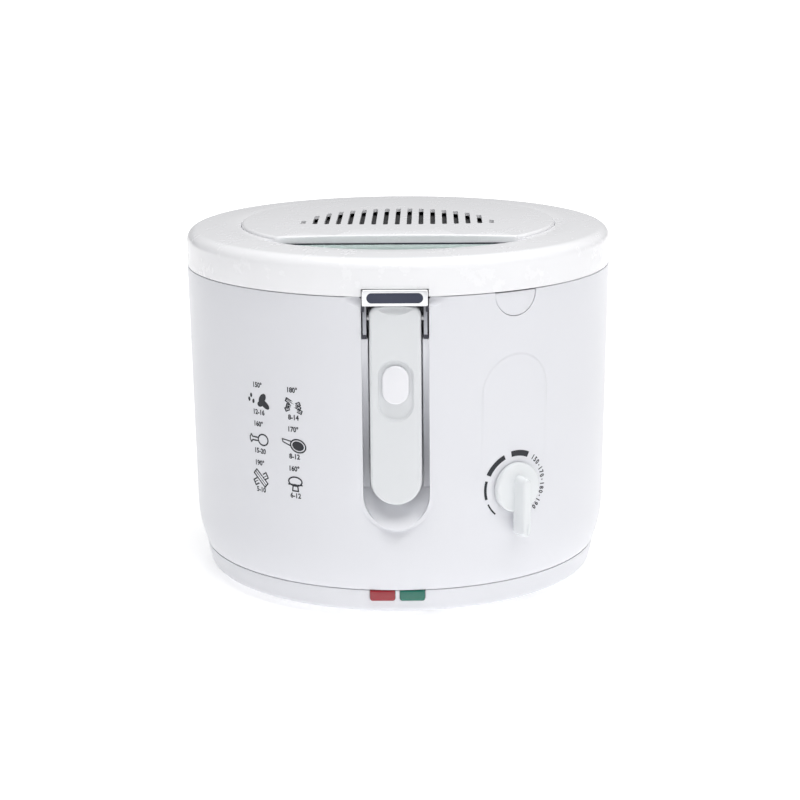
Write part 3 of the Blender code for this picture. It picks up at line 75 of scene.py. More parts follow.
RELEASE_TOP = 0.1967
RELEASE_RADIUS = 0.0140
PIN_Y = 0.1255
PIN_Z = 0.1845
THUMB_HALF = 0.0107
THUMB_LOW = 0.1242
THUMB_HIGH = 0.1612
BUTTON_HALF = 0.0078
BUTTON_LOW = 0.1344
BUTTON_HIGH = 0.1573
STEM_HALF = 0.0038
STEM_LOW = 0.1430
STEM_HIGH = 0.1492
PLATE_LOW = 0.1925
REFLECTION_PANEL_HALF = 0.0030
REFLECTION_PANEL_REACH = 0.0162
SLOT_PITCH = 0.0073
SLOT_HALF_WIDTH = 0.0015
SLOT_BASELINE = -0.0295
SLOT_BASELINE_RISE = 0.0075
SLOT_FIELD_RADIUS = 0.0593
SLOT_FIELD_CENTRE = -0.0203
FOOT_CIRCLE = 0.0950
SCREW_CIRCLE = 0.1060
FINE = 256


# Camera, floor and lights


def add_camera():
    lens = bpy.data.cameras.new("camera")
    lens.sensor_width = 36.0
    lens.lens = 93.72
    camera = bpy.data.objects.new("camera", lens)
    scene.collection.objects.link(camera)
    level = Matrix.Rotation(math.radians(90.0) - 0.236, 4, "X")
    stand = Matrix.Translation((0.00045, -1.30, 0.4181)) @ level
    roll = Matrix.Rotation(-0.008, 4, "Z")
    camera.matrix_world = Matrix.Rotation(math.radians(0.9), 4, "Z") @ stand @ roll
    scene.camera = camera


def add_light(name, place, target, size, power, colour=(1.0, 1.0, 1.0)):
    lamp = bpy.data.lights.new(name, "AREA")
    lamp.shape = "RECTANGLE"
    lamp.size, lamp.size_y = size
    lamp.energy = power
    lamp.color = colour
    item = bpy.data.objects.new(name, lamp)
    scene.collection.objects.link(item)
    item.location = place
    item.rotation_euler = (Vector(target) - Vector(place)).to_track_quat("-Z", "Y").to_euler()


def add_studio():
    world = bpy.data.worlds.new("studio")
    scene.world = world
    world.use_nodes = True
    sky = world.node_tree.nodes["Background"]
    sky.inputs["Color"].default_value = (0.97, 0.98, 1.0, 1.0)
    sky.inputs["Strength"].default_value = 0.14
    bm = bmesh.new()
    bmesh.ops.create_grid(bm, x_segments=1, y_segments=1, size=15.0)
    mesh = bpy.data.meshes.new("floor")
    bm.to_mesh(mesh)
    bm.free()
    floor = bpy.data.objects.new("floor", mesh)
    scene.collection.objects.link(floor)
    painted_glow_floor = bpy.data.materials.new("pale_floor_painted_glow")
    painted_glow_floor.use_nodes = True
    nodes, links = painted_glow_floor.node_tree.nodes, painted_glow_floor.node_tree.links
    shader = nodes["Principled BSDF"]
    shader.inputs["Base Color"].default_value = (0.93, 0.93, 0.93, 1.0)
    shader.inputs["Roughness"].default_value = 0.9
    # Painted light: the floor glows, with emission 0.42 near the fryer rising to 1.0 from 0.35 m to 1.3 m
    # behind it, whitening the backdrop and lightening the contact shadow.
    shader.inputs["Emission Strength"].default_value = 1.0
    place = nodes.new("ShaderNodeTexCoord")
    split = nodes.new("ShaderNodeSeparateXYZ")
    lit = nodes.new("ShaderNodeMapRange")
    lit.inputs["From Min"].default_value = 0.35
    lit.inputs["From Max"].default_value = 1.3
    lit.inputs["To Min"].default_value = 0.42
    lit.inputs["To Max"].default_value = 1.0
    links.new(place.outputs["Object"], split.inputs["Vector"])
    links.new(split.outputs["Y"], lit.inputs["Value"])
    links.new(lit.outputs["Result"], shader.inputs["Emission Color"])
    mesh.materials.append(painted_glow_floor)
    add_light("overhead", (0.3, -0.5, 2.6), (0.0, 0.0, 0.1), (2.4, 2.4), 74.0)
    add_light("front_right", (1.7, -2.2, 1.1), (0.0, 0.0, 0.1), (2.4, 2.4), 8.0)
    add_light("front_left", (-1.5, -2.3, 0.9), (0.0, 0.0, 0.1), (1.2, 1.6), 3.0, (0.93, 0.95, 1.0))


add_camera()
add_studio()


# Shared effects


def new_group(name, inputs, outputs):
    group = bpy.data.node_groups.new(name, "ShaderNodeTree")
    for label, kind, value in inputs:
        socket = group.interface.new_socket(name=label, in_out="INPUT", socket_type=kind)
        socket.default_value = value
    for label, kind in outputs:
        group.interface.new_socket(name=label, in_out="OUTPUT", socket_type=kind)
    entry = group.nodes.new("NodeGroupInput")
    leave = group.nodes.new("NodeGroupOutput")
    return group, entry, leave


def add_math(nodes, links, operation, first, second, third=None, clamp=False):
    node = nodes.new("ShaderNodeMath")
    node.operation = operation
    node.use_clamp = clamp
    for socket, value in zip(node.inputs, (first, second, third)):
        if isinstance(value, (int, float)):
            socket.default_value = value
        elif value is not None:
            links.new(value, socket)
    return node.outputs[0]


def make_moulded_skin():
    """Slow tone drift, a fine orange peel and faint handling marks, for anything moulded or pressed."""
    group, entry, leave = new_group(
        "moulded_skin",
        [
            ("Vector", "NodeSocketVector", (0.0, 0.0, 0.0)),
            ("Light", "NodeSocketColor", (0.8, 0.8, 0.8, 1.0)),
            ("Dark", "NodeSocketColor", (0.7, 0.7, 0.7, 1.0)),
            ("Peel Scale", "NodeSocketFloat", 600.0),
            ("Smooth", "NodeSocketFloat", 0.2),
            ("Dull", "NodeSocketFloat", 0.3),
        ],
        [("Color", "NodeSocketColor"), ("Roughness", "NodeSocketFloat"), ("Height", "NodeSocketFloat")],
    )
    nodes, links = group.nodes, group.links
    drift = nodes.new("ShaderNodeTexNoise")
    drift.inputs["Scale"].default_value = 14.0
    drift.inputs["Detail"].default_value = 3.0
    links.new(entry.outputs["Vector"], drift.inputs["Vector"])
    peel = nodes.new("ShaderNodeTexNoise")
    peel.inputs["Detail"].default_value = 2.0
    links.new(entry.outputs["Vector"], peel.inputs["Vector"])
    links.new(entry.outputs["Peel Scale"], peel.inputs["Scale"])
    marks = nodes.new("ShaderNodeTexNoise")
    marks.inputs["Scale"].default_value = 55.0
    marks.inputs["Detail"].default_value = 6.0
    marks.inputs["Roughness"].default_value = 0.7
    links.new(entry.outputs["Vector"], marks.inputs["Vector"])
    blend = nodes.new("ShaderNodeMix")
    blend.data_type = "RGBA"
    tone = add_math(nodes, links, "MULTIPLY_ADD", drift.outputs["Fac"], 1.0, 0.0)
    links.new(tone, blend.inputs["Factor"])
    links.new(entry.outputs["Light"], blend.inputs["A"])
    links.new(entry.outputs["Dark"], blend.inputs["B"])
    worn = add_math(nodes, links, "MULTIPLY_ADD", marks.outputs["Fac"], 0.8, 0.1)
    span = add_math(nodes, links, "SUBTRACT", entry.outputs["Dull"], entry.outputs["Smooth"])
    rough = add_math(nodes, links, "MULTIPLY_ADD", worn, span, entry.outputs["Smooth"])
    links.new(blend.outputs["Result"], leave.inputs["Color"])
    links.new(rough, leave.inputs["Roughness"])
    links.new(peel.outputs["Fac"], leave.inputs["Height"])
    return group


def make_brushing():
    """Long fine strokes along one direction, for sheet metal and turned faces."""
    group, entry, leave = new_group(
        "brushing",
        [("Vector", "NodeSocketVector", (0.0, 0.0, 0.0)), ("Smooth", "NodeSocketFloat", 0.2),
         ("Dull", "NodeSocketFloat", 0.4)],
        [("Roughness", "NodeSocketFloat"), ("Height", "NodeSocketFloat")],
    )
    nodes, links = group.nodes, group.links
    stretch = nodes.new("ShaderNodeMapping")
    stretch.inputs["Scale"].default_value = (60.0, 1400.0, 1400.0)
    links.new(entry.outputs["Vector"], stretch.inputs["Vector"])
    strokes = nodes.new("ShaderNodeTexNoise")
    strokes.inputs["Scale"].default_value = 1.0
    strokes.inputs["Detail"].default_value = 3.0
    links.new(stretch.outputs["Vector"], strokes.inputs["Vector"])
    span = add_math(nodes, links, "SUBTRACT", entry.outputs["Dull"], entry.outputs["Smooth"])
    rough = add_math(nodes, links, "MULTIPLY_ADD", strokes.outputs["Fac"], span, entry.outputs["Smooth"])
    links.new(rough, leave.inputs["Roughness"])
    links.new(strokes.outputs["Fac"], leave.inputs["Height"])
    return group


SKIN = make_moulded_skin()
BRUSHING = make_brushing()


def start_material(name):
    material = bpy.data.materials.new(name)
    material.use_nodes = True
    nodes = material.node_tree.nodes
    place = nodes.new("ShaderNodeTexCoord")
    return material, nodes, material.node_tree.links, nodes["Principled BSDF"], place


def moulded(name, light, dark, smooth, dull, peel=700.0, depth=0.000004, metallic=0.0, coat=0.0, ior=1.46):
    """A moulded or painted finish from the shared skin effect."""
    material, nodes, links, shader, place = start_material(name)
    skin = nodes.new("ShaderNodeGroup")
    skin.node_tree = SKIN
    skin.inputs["Light"].default_value = (*light, 1.0)
    skin.inputs["Dark"].default_value = (*dark, 1.0)
    skin.inputs["Peel Scale"].default_value = peel
    skin.inputs["Smooth"].default_value = smooth
    skin.inputs["Dull"].default_value = dull
    links.new(place.outputs["Object"], skin.inputs["Vector"])
    links.new(skin.outputs["Color"], shader.inputs["Base Color"])
    links.new(skin.outputs["Roughness"], shader.inputs["Roughness"])
    bump = nodes.new("ShaderNodeBump")
    bump.inputs["Strength"].default_value = 0.6
    bump.inputs["Distance"].default_value = depth
    links.new(skin.outputs["Height"], bump.inputs["Height"])
    links.new(bump.outputs["Normal"], shader.inputs["Normal"])
    shader.inputs["Metallic"].default_value = metallic
    shader.inputs["IOR"].default_value = ior
    shader.inputs["Coat Weight"].default_value = coat
    shader.inputs["Coat Roughness"].default_value = 0.08
    return material


def brushed(name, colour, smooth, dull, depth=0.00001):
    """Bare metal with fine strokes."""
    material, nodes, links, shader, place = start_material(name)
    strokes = nodes.new("ShaderNodeGroup")
    strokes.node_tree = BRUSHING
    strokes.inputs["Smooth"].default_value = smooth
    strokes.inputs["Dull"].default_value = dull
    links.new(place.outputs["Object"], strokes.inputs["Vector"])
    shader.inputs["Base Color"].default_value = (*colour, 1.0)
    links.new(strokes.outputs["Roughness"], shader.inputs["Roughness"])
    bump = nodes.new("ShaderNodeBump")
    bump.inputs["Strength"].default_value = 0.5
    bump.inputs["Distance"].default_value = depth
    links.new(strokes.outputs["Height"], bump.inputs["Height"])
    links.new(bump.outputs["Normal"], shader.inputs["Normal"])
    shader.inputs["Metallic"].default_value = 1.0
    return material


def clear(name, colour, rough, weight, ior=1.5):
    """Glass or a clear moulding, with a faint waviness."""
    material, nodes, links, shader, place = start_material(name)
    wave = nodes.new("ShaderNodeTexNoise")
    wave.inputs["Scale"].default_value = 40.0
    links.new(place.outputs["Object"], wave.inputs["Vector"])
    bump = nodes.new("ShaderNodeBump")
    bump.inputs["Strength"].default_value = 0.3
    bump.inputs["Distance"].default_value = 0.0001
    links.new(wave.outputs["Fac"], bump.inputs["Height"])
    links.new(bump.outputs["Normal"], shader.inputs["Normal"])
    shader.inputs["Base Color"].default_value = (*colour, 1.0)
    shader.inputs["Roughness"].default_value = rough
    shader.inputs["Transmission Weight"].default_value = weight
    shader.inputs["IOR"].default_value = ior
    return material


HOUSING_WHITE = moulded("housing_white", (0.795, 0.80, 0.835), (0.78, 0.785, 0.822),
                        0.27, 0.33, 500.0, 0.000004)
# The lid's white is lighter than the drum's: painted brightness standing in for the overhead light on the
# lid top (also used on the vent cover and lid hook).
LID_PAINTED_BRIGHT_WHITE = moulded("lid_white", (0.94, 0.94, 0.955), (0.925, 0.925, 0.945), 0.24, 0.30, 500.0, 0.000004)
HANDLE_WHITE = moulded("handle_white", (0.77, 0.785, 0.80), (0.74, 0.755, 0.775),
                       0.26, 0.38, 600.0, 0.000004)
BUTTON_WHITE = moulded("button_white", (0.88, 0.88, 0.91), (0.85, 0.85, 0.885), 0.18, 0.26)
DIAL_WHITE = moulded("dial_white", (0.83, 0.85, 0.86), (0.80, 0.82, 0.84), 0.20, 0.30)
CHROME = moulded("bright_chrome", (0.93, 0.94, 0.95), (0.86, 0.87, 0.89), 0.14, 0.24, 300.0, 0.000004, 0.35)
# Dark bluish chrome: painted reflection of a dark surrounding, for the middle of the bracket plate.
CHROME_PAINTED_DARK_REFLECTION = moulded("chrome_painted_dark_reflection", (0.075, 0.085, 0.125), (0.012, 0.014, 0.03),
                        0.16, 0.30, 160.0, 0.00002, 0.5)
# Steel darker than the plain steel: painted shade on the bracket's cheeks and strap, which sit in the handle
# recess.
CHEEK_STEEL_PAINTED_SHADE = brushed("cheek_steel_painted_shade", (0.38, 0.39, 0.42), 0.30, 0.48)
# Near-black: painted shadow along the vent cover's front gap, and the bracket's small dark pads.
DARK_PAD_AND_PAINTED_SHADE = moulded("dark_pad_and_painted_shade", (0.05, 0.05, 0.07), (0.03, 0.03, 0.04), 0.4, 0.6)
PLAIN_STEEL = brushed("plain_steel", (0.62, 0.62, 0.63), 0.22, 0.40)
ALUMINIUM = brushed("pressed_aluminium", (0.77, 0.78, 0.79), 0.28, 0.46)
BASKET_WIRE = moulded("basket_wire", (0.72, 0.72, 0.73), (0.58, 0.58, 0.60), 0.16, 0.34, 900.0, 0.00001, 1.0)
BOWL_COATING = moulded("bowl_coating", (0.055, 0.055, 0.06), (0.035, 0.035, 0.04),
                       0.34, 0.52, 900.0, 0.00004)
SEAL_GREY = moulded("seal_silicone", (0.42, 0.43, 0.44), (0.36, 0.37, 0.38), 0.5, 0.7, 900.0, 0.00003)
RUBBER = moulded("foot_rubber", (0.045, 0.045, 0.048), (0.03, 0.03, 0.032), 0.6, 0.85, 900.0, 0.00005)
BLACK_MOULDING = moulded("black_moulding", (0.04, 0.04, 0.042), (0.025, 0.025, 0.027), 0.4, 0.6)
CERAMIC = moulded("thermostat_housing", (0.62, 0.60, 0.56), (0.52, 0.50, 0.46), 0.5, 0.7)
COPPER = brushed("capillary_copper", (0.72, 0.40, 0.26), 0.2, 0.4)
ELEMENT_STEEL = moulded("element_steel", (0.30, 0.29, 0.28), (0.20, 0.18, 0.16),
                        0.35, 0.55, 900.0, 0.00002, 1.0)
RED_LENS = moulded("red_lens", (0.40, 0.012, 0.025), (0.27, 0.008, 0.018),
                   0.08, 0.20, 300.0, 0.00003, coat=0.6)
GREEN_LENS = moulded("green_lens", (0.008, 0.20, 0.135), (0.004, 0.13, 0.09),
                     0.08, 0.20, 300.0, 0.00003, coat=0.6)
LAMP_GLASS = clear("lamp_glass", (0.95, 0.90, 0.85), 0.05, 0.8)
WINDOW_GLASS = clear("window_glass", (0.80, 0.93, 0.90), 0.06, 0.55)
PRINT_BLACK = moulded("print_black", (0.018, 0.02, 0.028), (0.012, 0.014, 0.02), 0.35, 0.5)


def foam_material():
    material, nodes, links, shader, place = start_material("filter_foam")
    cells = nodes.new("ShaderNodeTexVoronoi")
    cells.inputs["Scale"].default_value = 900.0
    links.new(place.outputs["Object"], cells.inputs["Vector"])
    ramp = nodes.new("ShaderNodeValToRGB")
    ramp.color_ramp.elements[0].color = (0.012, 0.012, 0.013, 1.0)
    ramp.color_ramp.elements[1].color = (0.10, 0.10, 0.105, 1.0)
    links.new(cells.outputs["Distance"], ramp.inputs["Fac"])
    links.new(ramp.outputs["Color"], shader.inputs["Base Color"])
    bump = nodes.new("ShaderNodeBump")
    bump.inputs["Distance"].default_value = 0.0004
    links.new(cells.outputs["Distance"], bump.inputs["Height"])
    links.new(bump.outputs["Normal"], shader.inputs["Normal"])
    shader.inputs["Roughness"].default_value = 0.95
    return material


FILTER_FOAM = foam_material()


def woven_steel():
    material, nodes, links, shader, place = start_material("mesh_steel")
    split = nodes.new("ShaderNodeSeparateXYZ")
    links.new(place.outputs["Object"], split.inputs["Vector"])
    heights = []
    for axis in ("X", "Y"):
        turn = add_math(nodes, links, "MULTIPLY", split.outputs[axis], 3600.0)
        heights.append(add_math(nodes, links, "SINE", turn, 0.0))
    weave = add_math(nodes, links, "MAXIMUM", heights[0], heights[1])
    ramp = nodes.new("ShaderNodeValToRGB")
    ramp.color_ramp.elements[0].color = (0.08, 0.08, 0.08, 1.0)
    ramp.color_ramp.elements[1].color = (0.60, 0.60, 0.61, 1.0)
    links.new(weave, ramp.inputs["Fac"])
    links.new(ramp.outputs["Color"], shader.inputs["Base Color"])
    bump = nodes.new("ShaderNodeBump")
    bump.inputs["Distance"].default_value = 0.0002
    links.new(weave, bump.inputs["Height"])
    links.new(bump.outputs["Normal"], shader.inputs["Normal"])
    shader.inputs["Metallic"].default_value = 1.0
    shader.inputs["Roughness"].default_value = 0.35
    return material


MESH_STEEL = woven_steel()


def housing_material():
    """The drum's white, with the shallow arch moulded above the dial."""
    material = HOUSING_WHITE.copy()
    material.name = "drum_white"
    nodes, links = material.node_tree.nodes, material.node_tree.links
    place = next(n for n in nodes if n.type == "TEX_COORD")
    first = next(n for n in nodes if n.type == "BUMP")
    shader = nodes["Principled BSDF"]
    turn = nodes.new("ShaderNodeMapping")
    turn.inputs["Rotation"].default_value = (0.0, 0.0, -DIAL_ANGLE)
    links.new(place.outputs["Object"], turn.inputs["Vector"])
    split = nodes.new("ShaderNodeSeparateXYZ")
    links.new(turn.outputs["Vector"], split.inputs["Vector"])
    above = add_math(nodes, links, "SUBTRACT", split.outputs["Z"], 0.1370)
    over = add_math(nodes, links, "MAXIMUM", above, 0.0)
    wide = add_math(nodes, links, "MULTIPLY", split.outputs["X"], split.outputs["X"])
    tall = add_math(nodes, links, "MULTIPLY", over, over)
    reach = add_math(nodes, links, "SQRT", add_math(nodes, links, "ADD", wide, tall), 0.0)
    inside = add_math(nodes, links, "MULTIPLY_ADD", reach, -1 / 0.0012, 0.0233 / 0.0012, clamp=True)
    front = add_math(nodes, links, "LESS_THAN", split.outputs["Y"], 0.0)
    fade = add_math(nodes, links, "MULTIPLY_ADD", split.outputs["Z"], 1 / 0.045, -0.090 / 0.045, clamp=True)
    raised = add_math(nodes, links, "MULTIPLY", add_math(nodes, links, "MULTIPLY", inside, front), fade)
    second = nodes.new("ShaderNodeBump")
    second.inputs["Strength"].default_value = 0.55
    second.inputs["Distance"].default_value = 0.0009
    links.new(raised, second.inputs["Height"])
    links.new(first.outputs["Normal"], second.inputs["Normal"])
    links.new(second.outputs["Normal"], shader.inputs["Normal"])
    return material


DRUM_WHITE = housing_material()


# Shapes


def arc(centre, radius, start, end, steps):
    """Points on a circle, in degrees."""
    turns = [math.radians(start + (end - start) * step / steps) for step in range(steps + 1)]
    return [(centre[0] + radius * math.cos(a), centre[1] + radius * math.sin(a)) for a in turns]


def outwards(angle, height, radius=0.0):
    """Local X, Y and Z become across, up and outwards at this angle of the drum."""
    spot = Matrix.Translation((radius * math.sin(angle), -radius * math.cos(angle), height))
    return spot @ Matrix.Rotation(angle, 4, "Z") @ Matrix.Rotation(math.radians(90.0), 4, "X")


def clean(bm, distance=0.000002):
    bmesh.ops.remove_doubles(bm, verts=bm.verts, dist=distance)
    bmesh.ops.recalc_face_normals(bm, faces=bm.faces)


def lathe(profile, closed=True, steps=FINE):
    """A closed profile of radius and height points, spun about the drum's axis."""
    bm = bmesh.new()
    points = [bm.verts.new((radius, 0.0, height)) for radius, height in profile]
    for first, second in zip(points, points[1:]):
        bm.edges.new((first, second))
    if closed:
        bm.edges.new((points[-1], points[0]))
    bmesh.ops.spin(
        bm, geom=bm.verts[:] + bm.edges[:], cent=(0, 0, 0), axis=(0, 0, 1), angle=2 * math.pi, steps=steps,
        use_merge=True,
    )
    clean(bm)
    return bm


def ease(bm, edges, offset, segments):
    """Rounds the edges by a radius."""
    bmesh.ops.bevel(
        bm, geom=list(edges), offset=offset, segments=segments, affect="EDGES", profile=0.5, material=-1
    )


def slab(bm, low, high, round_by=0.0, segments=3):
    """A box with its edges rounded."""
    low, high = Vector(low), Vector(high)
    made = bmesh.ops.create_cube(bm, size=1.0)["verts"]
    bmesh.ops.scale(bm, vec=high - low, verts=made)
    bmesh.ops.translate(bm, vec=(low + high) / 2, verts=made)
    if round_by:
        edges = list({edge for vert in made for edge in vert.link_edges})
        ease(bm, edges, round_by, segments)
    return made


def rod(bm, radius, start, end, segments=32, tip=None):
    start, end = Vector(start), Vector(end)
    turn = (end - start).to_track_quat("Z", "Y").to_matrix().to_4x4()
    made = bmesh.ops.create_cone(
        bm, cap_ends=True, segments=segments, radius1=radius, radius2=radius if tip is None else tip,
        depth=(end - start).length, matrix=Matrix.Translation((start + end) / 2) @ turn,
    )
    return made["verts"]


def thicken(bm, depth):
    """Gives the flat faces their thickness along local Z."""
    faces = bm.faces[:]
    made = bmesh.ops.extrude_face_region(bm, geom=faces)["geom"]
    verts = [item for item in made if isinstance(item, bmesh.types.BMVert)]
    bmesh.ops.translate(bm, vec=(0.0, 0.0, depth), verts=verts)
    bmesh.ops.recalc_face_normals(bm, faces=bm.faces)
    return verts


def stadium(half, low, high, segments=48):
    """A flat upright slot with round ends, in local XY."""
    bm = bmesh.new()
    made = bmesh.ops.create_circle(bm, cap_ends=True, segments=segments, radius=half)["verts"]
    upper = [v for v in made if v.co.y > 0.00001]
    lower = [v for v in made if v.co.y < -0.00001]
    sides = [v for v in made if abs(v.co.y) <= 0.00001]
    bmesh.ops.translate(bm, vec=(0.0, high - half, 0.0), verts=upper)
    bmesh.ops.translate(bm, vec=(0.0, low + half, 0.0), verts=lower + sides)
    tops = [(v.co.x, high - half) for v in sides]
    for x, y in tops:
        side = next(v for v in sides if abs(v.co.x - x) < 0.00001)
        up = min((v for v in upper), key=lambda v: (v.co - Vector((x, y, 0.0))).length)
        edge = next(e for e in side.link_edges if e.other_vert(side) == up)
        _, added = bmesh.utils.edge_split(edge, side, 0.5)
        added.co = Vector((x, y, 0.0))
    return bm


def soften(bm, offset, segments=3, angle=30.0):
    """Rounds every edge sharper than the angle."""
    edges = [e for e in bm.edges if len(e.link_faces) == 2 and e.calc_face_angle(0.0) > math.radians(angle)]
    bmesh.ops.bevel(
        bm, geom=edges, offset=offset, segments=segments, affect="EDGES", profile=0.5, material=-1,
        clamp_overlap=True,
    )
    bmesh.ops.recalc_face_normals(bm, faces=bm.faces)
    return bm


def temporary(bm, matrix=None):
    """An object for cutting or joining with, which cut and join remove again."""
    if matrix is not None:
        bmesh.ops.transform(bm, matrix=matrix, verts=bm.verts)
    mesh = bpy.data.meshes.new("shape")
    bm.to_mesh(mesh)
    bm.free()
    item = bpy.data.objects.new("shape", mesh)
    scene.collection.objects.link(item)
    return item


def combine(item, other, operation):
    change = item.modifiers.new("change", "BOOLEAN")
    change.operation = operation
    change.solver = "EXACT"
    change.object = other
    bpy.context.view_layer.update()
    result = bpy.data.meshes.new_from_object(item.evaluated_get(bpy.context.evaluated_depsgraph_get()))
    item.modifiers.clear()
    item.data = result
    bpy.data.objects.remove(other, do_unlink=True)
    return item


def cut(item, other):
    return combine(item, other, "DIFFERENCE")


def join(item, other):
    return combine(item, other, "UNION")


def finish(item, name, material, body, nodes=(), sharp=32.0, edge=0.0):
    """Names the piece, gives it its finish and hangs it on its body."""
    if isinstance(item, bmesh.types.BMesh):
        item = temporary(item)
    item.name = name
    mesh = item.data
    mesh.name = name
    if not mesh.materials:
        mesh.materials.append(material)
    if edge:
        change = item.modifiers.new("edges", "BEVEL")
        change.width = edge
        change.segments = 2
        change.limit_method = "ANGLE"
        change.angle_limit = math.radians(40.0)
        change.use_clamp_overlap = True
        bpy.context.view_layer.update()
        mesh = bpy.data.meshes.new_from_object(item.evaluated_get(bpy.context.evaluated_depsgraph_get()))
        item.modifiers.clear()
        item.data = mesh
        mesh.name = name
    mesh.shade_smooth()
    mesh.set_sharp_from_angle(angle=math.radians(sharp))
    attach(item, body)
    if nodes:
        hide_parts(*nodes)
    return item


def drum_radius(height):
    share = (height - WAIST_HEIGHT) / (DRUM_TOP - WAIST_HEIGHT)
    return WAIST_RADIUS + (DRUM_RADIUS - WAIST_RADIUS) * share


def drum_side(steps=10):
    """The drum's outer side from its top edge to the lower seam."""
    drop = WAIST_HEIGHT - SEAM_HEIGHT
    inset = WAIST_RADIUS - SEAM_RADIUS
    corner = (drop * drop + inset * inset) / (2 * inset)
    sweep = math.degrees(math.asin(drop / corner))
    rows = [DRUM_TOP - 0.0006, 0.1800, 0.1500, 0.1200] + [0.1100 - 0.0030 * row for row in range(21)]
    side = [(DRUM_RADIUS - 0.0006, DRUM_TOP), (DRUM_RADIUS - 0.0001, DRUM_TOP - 0.0002)]
    side += [(drum_radius(height), height) for height in rows]
    lower = arc((WAIST_RADIUS - corner, WAIST_HEIGHT), corner, 0.0, -sweep, steps)
    side += lower[:-1] + [(SEAM_RADIUS + 0.0002, SEAM_HEIGHT + 0.0005), (SEAM_RADIUS - 0.0003, SEAM_HEIGHT)]
    return side


def dish(bm):
    """Presses the soft dish into the drum round the lower end of the handle recess."""
    centre = RECESS_LOW + RECESS_HALF
    outer = [v for v in bm.verts if v.co.xy.length > drum_radius(max(v.co.z, WAIST_HEIGHT)) - 0.0015]
    near = {v for v in outer if v.co.y < 0 and abs(v.co.x) < 0.045 and 0.038 < v.co.z < 0.112}
    faces = [f for f in bm.faces if all(v in near for v in f.verts)]
    edges = list({e for f in faces for e in f.edges})
    bmesh.ops.subdivide_edges(bm, edges=edges, cuts=1, use_grid_fill=True)
    for vert in bm.verts:
        x, y, z = vert.co
        if y > 0 or abs(x) > 0.045 or not 0.036 < z < 0.115 or vert.co.xy.length < 0.125:
            continue
        below = max(centre - z, 0.0)
        reach = math.hypot(x, below) - RECESS_HALF
        downwards = below / max(math.hypot(x, below), 0.0001)
        width = 0.0065 + 0.0095 * downwards
        share = min(max(1.0 - reach / width, 0.0), 1.0)
        fade = min(max((0.112 - z) / 0.020, 0.0), 1.0)
        depth = 0.0030 * share * share * fade * (0.35 + 0.65 * downwards)
        vert.co.y += depth
    return bm


def make_housing():
    outer = drum_side()
    inner = [(radius - WALL, height) for radius, height in outer if height in (outer[0][1], outer[-1][1])]
    inner = [(SEAM_RADIUS - WALL, SEAM_HEIGHT), (WAIST_RADIUS - WALL, WAIST_HEIGHT)]
    inner.append((DRUM_RADIUS - WALL, DRUM_TOP))
    housing = temporary(dish(lathe(outer + inner)))
    walls = stadium(RECESS_HALF + 0.0022, RECESS_LOW - 0.0022, 0.1932, 64)
    for vert in walls.verts:
        if vert.co.y > 0.16:
            vert.co.y = 0.1932
            if abs(vert.co.x) < RECESS_HALF + 0.0021:
                if abs(vert.co.x) > 0.02:
                    vert.co.x = math.copysign(RECESS_HALF + 0.0022, vert.co.x)
    bmesh.ops.dissolve_limit(walls, angle_limit=0.001, verts=walls.verts, edges=walls.edges)
    thicken(walls, 0.0200)
    pocket = temporary(walls, outwards(0.0, 0.0, RECESS_BACK - 0.0022))
    join(housing, pocket)
    hollow = stadium(RECESS_HALF, RECESS_LOW, 0.2600, 64)
    thicken(hollow, 0.0400)
    lower = [e for e in hollow.edges if all(abs(v.co.z) < 0.00001 for v in e.verts)]
    ease(hollow, lower, 0.0030, 4)
    cut(housing, temporary(hollow, outwards(0.0, 0.0, RECESS_BACK)))
    add_hinge_block(housing)
    tools = bmesh.new()
    for side in (-1, 1):
        scoop = bmesh.ops.create_uvsphere(tools, u_segments=48, v_segments=24, radius=1.0)["verts"]
        bmesh.ops.scale(tools, vec=(0.0135, 0.0030, 0.0068), verts=scoop)
        spot = (side * 0.0200, -DRUM_RADIUS + 0.0012, DRUM_TOP + 0.0012)
        bmesh.ops.translate(tools, vec=spot, verts=scoop)
    port = rod(tools, RELEASE_RADIUS + 0.0004, (0, 0, -0.02), (0, 0, 0.01), 64)
    bmesh.ops.transform(tools, matrix=outwards(RELEASE_ANGLE, RELEASE_TOP, DRUM_RADIUS), verts=port)
    shaft = rod(tools, 0.0034, (0, 0, -0.02), (0, 0, 0.02))
    seat = outwards(DIAL_ANGLE, DIAL_HEIGHT, drum_radius(DIAL_HEIGHT))
    bmesh.ops.transform(tools, matrix=seat, verts=shaft)
    rod(tools, 0.0063, (0, 0.11, 0.056), (0, 0.15, 0.056), 48)
    cut(housing, temporary(tools))
    for side in (-1, 1):
        ledge = bmesh.new()
        low, high = sorted((side * 0.0157, side * 0.0200))
        made = slab(ledge, (low, -0.1306, 0.0799), (high, -RECESS_BACK + 0.0005, 0.1730))
        for vert in made:
            if vert.co.z < 0.1 and vert.co.y < -0.115:
                vert.co.y = -RECESS_BACK - 0.0030
        front = [e for e in ledge.edges if all(v.co.y < -0.112 for v in e.verts)]
        ease(ledge, front, 0.0005, 3)
        join(housing, temporary(ledge))
    slope = stadium(0.0200, 0.0585, 0.0985, 64)
    bmesh.ops.transform(slope, matrix=outwards(0.0, 0.0, RECESS_BACK - 0.0005), verts=slope.verts)
    made = bmesh.ops.extrude_face_region(slope, geom=slope.faces[:])["geom"]
    front = [item for item in made if isinstance(item, bmesh.types.BMVert)]
    bmesh.ops.translate(slope, vec=(0.0, -0.0220, 0.0), verts=front)
    bmesh.ops.recalc_face_normals(slope, faces=slope.faces)
    trim(slope, (0.0, -0.1303, 0.0600), (0.0, -0.0135, 0.0123))
    join(housing, temporary(slope))
    finish(housing, "housing_shell", DRUM_WHITE, "base", ["housing"])


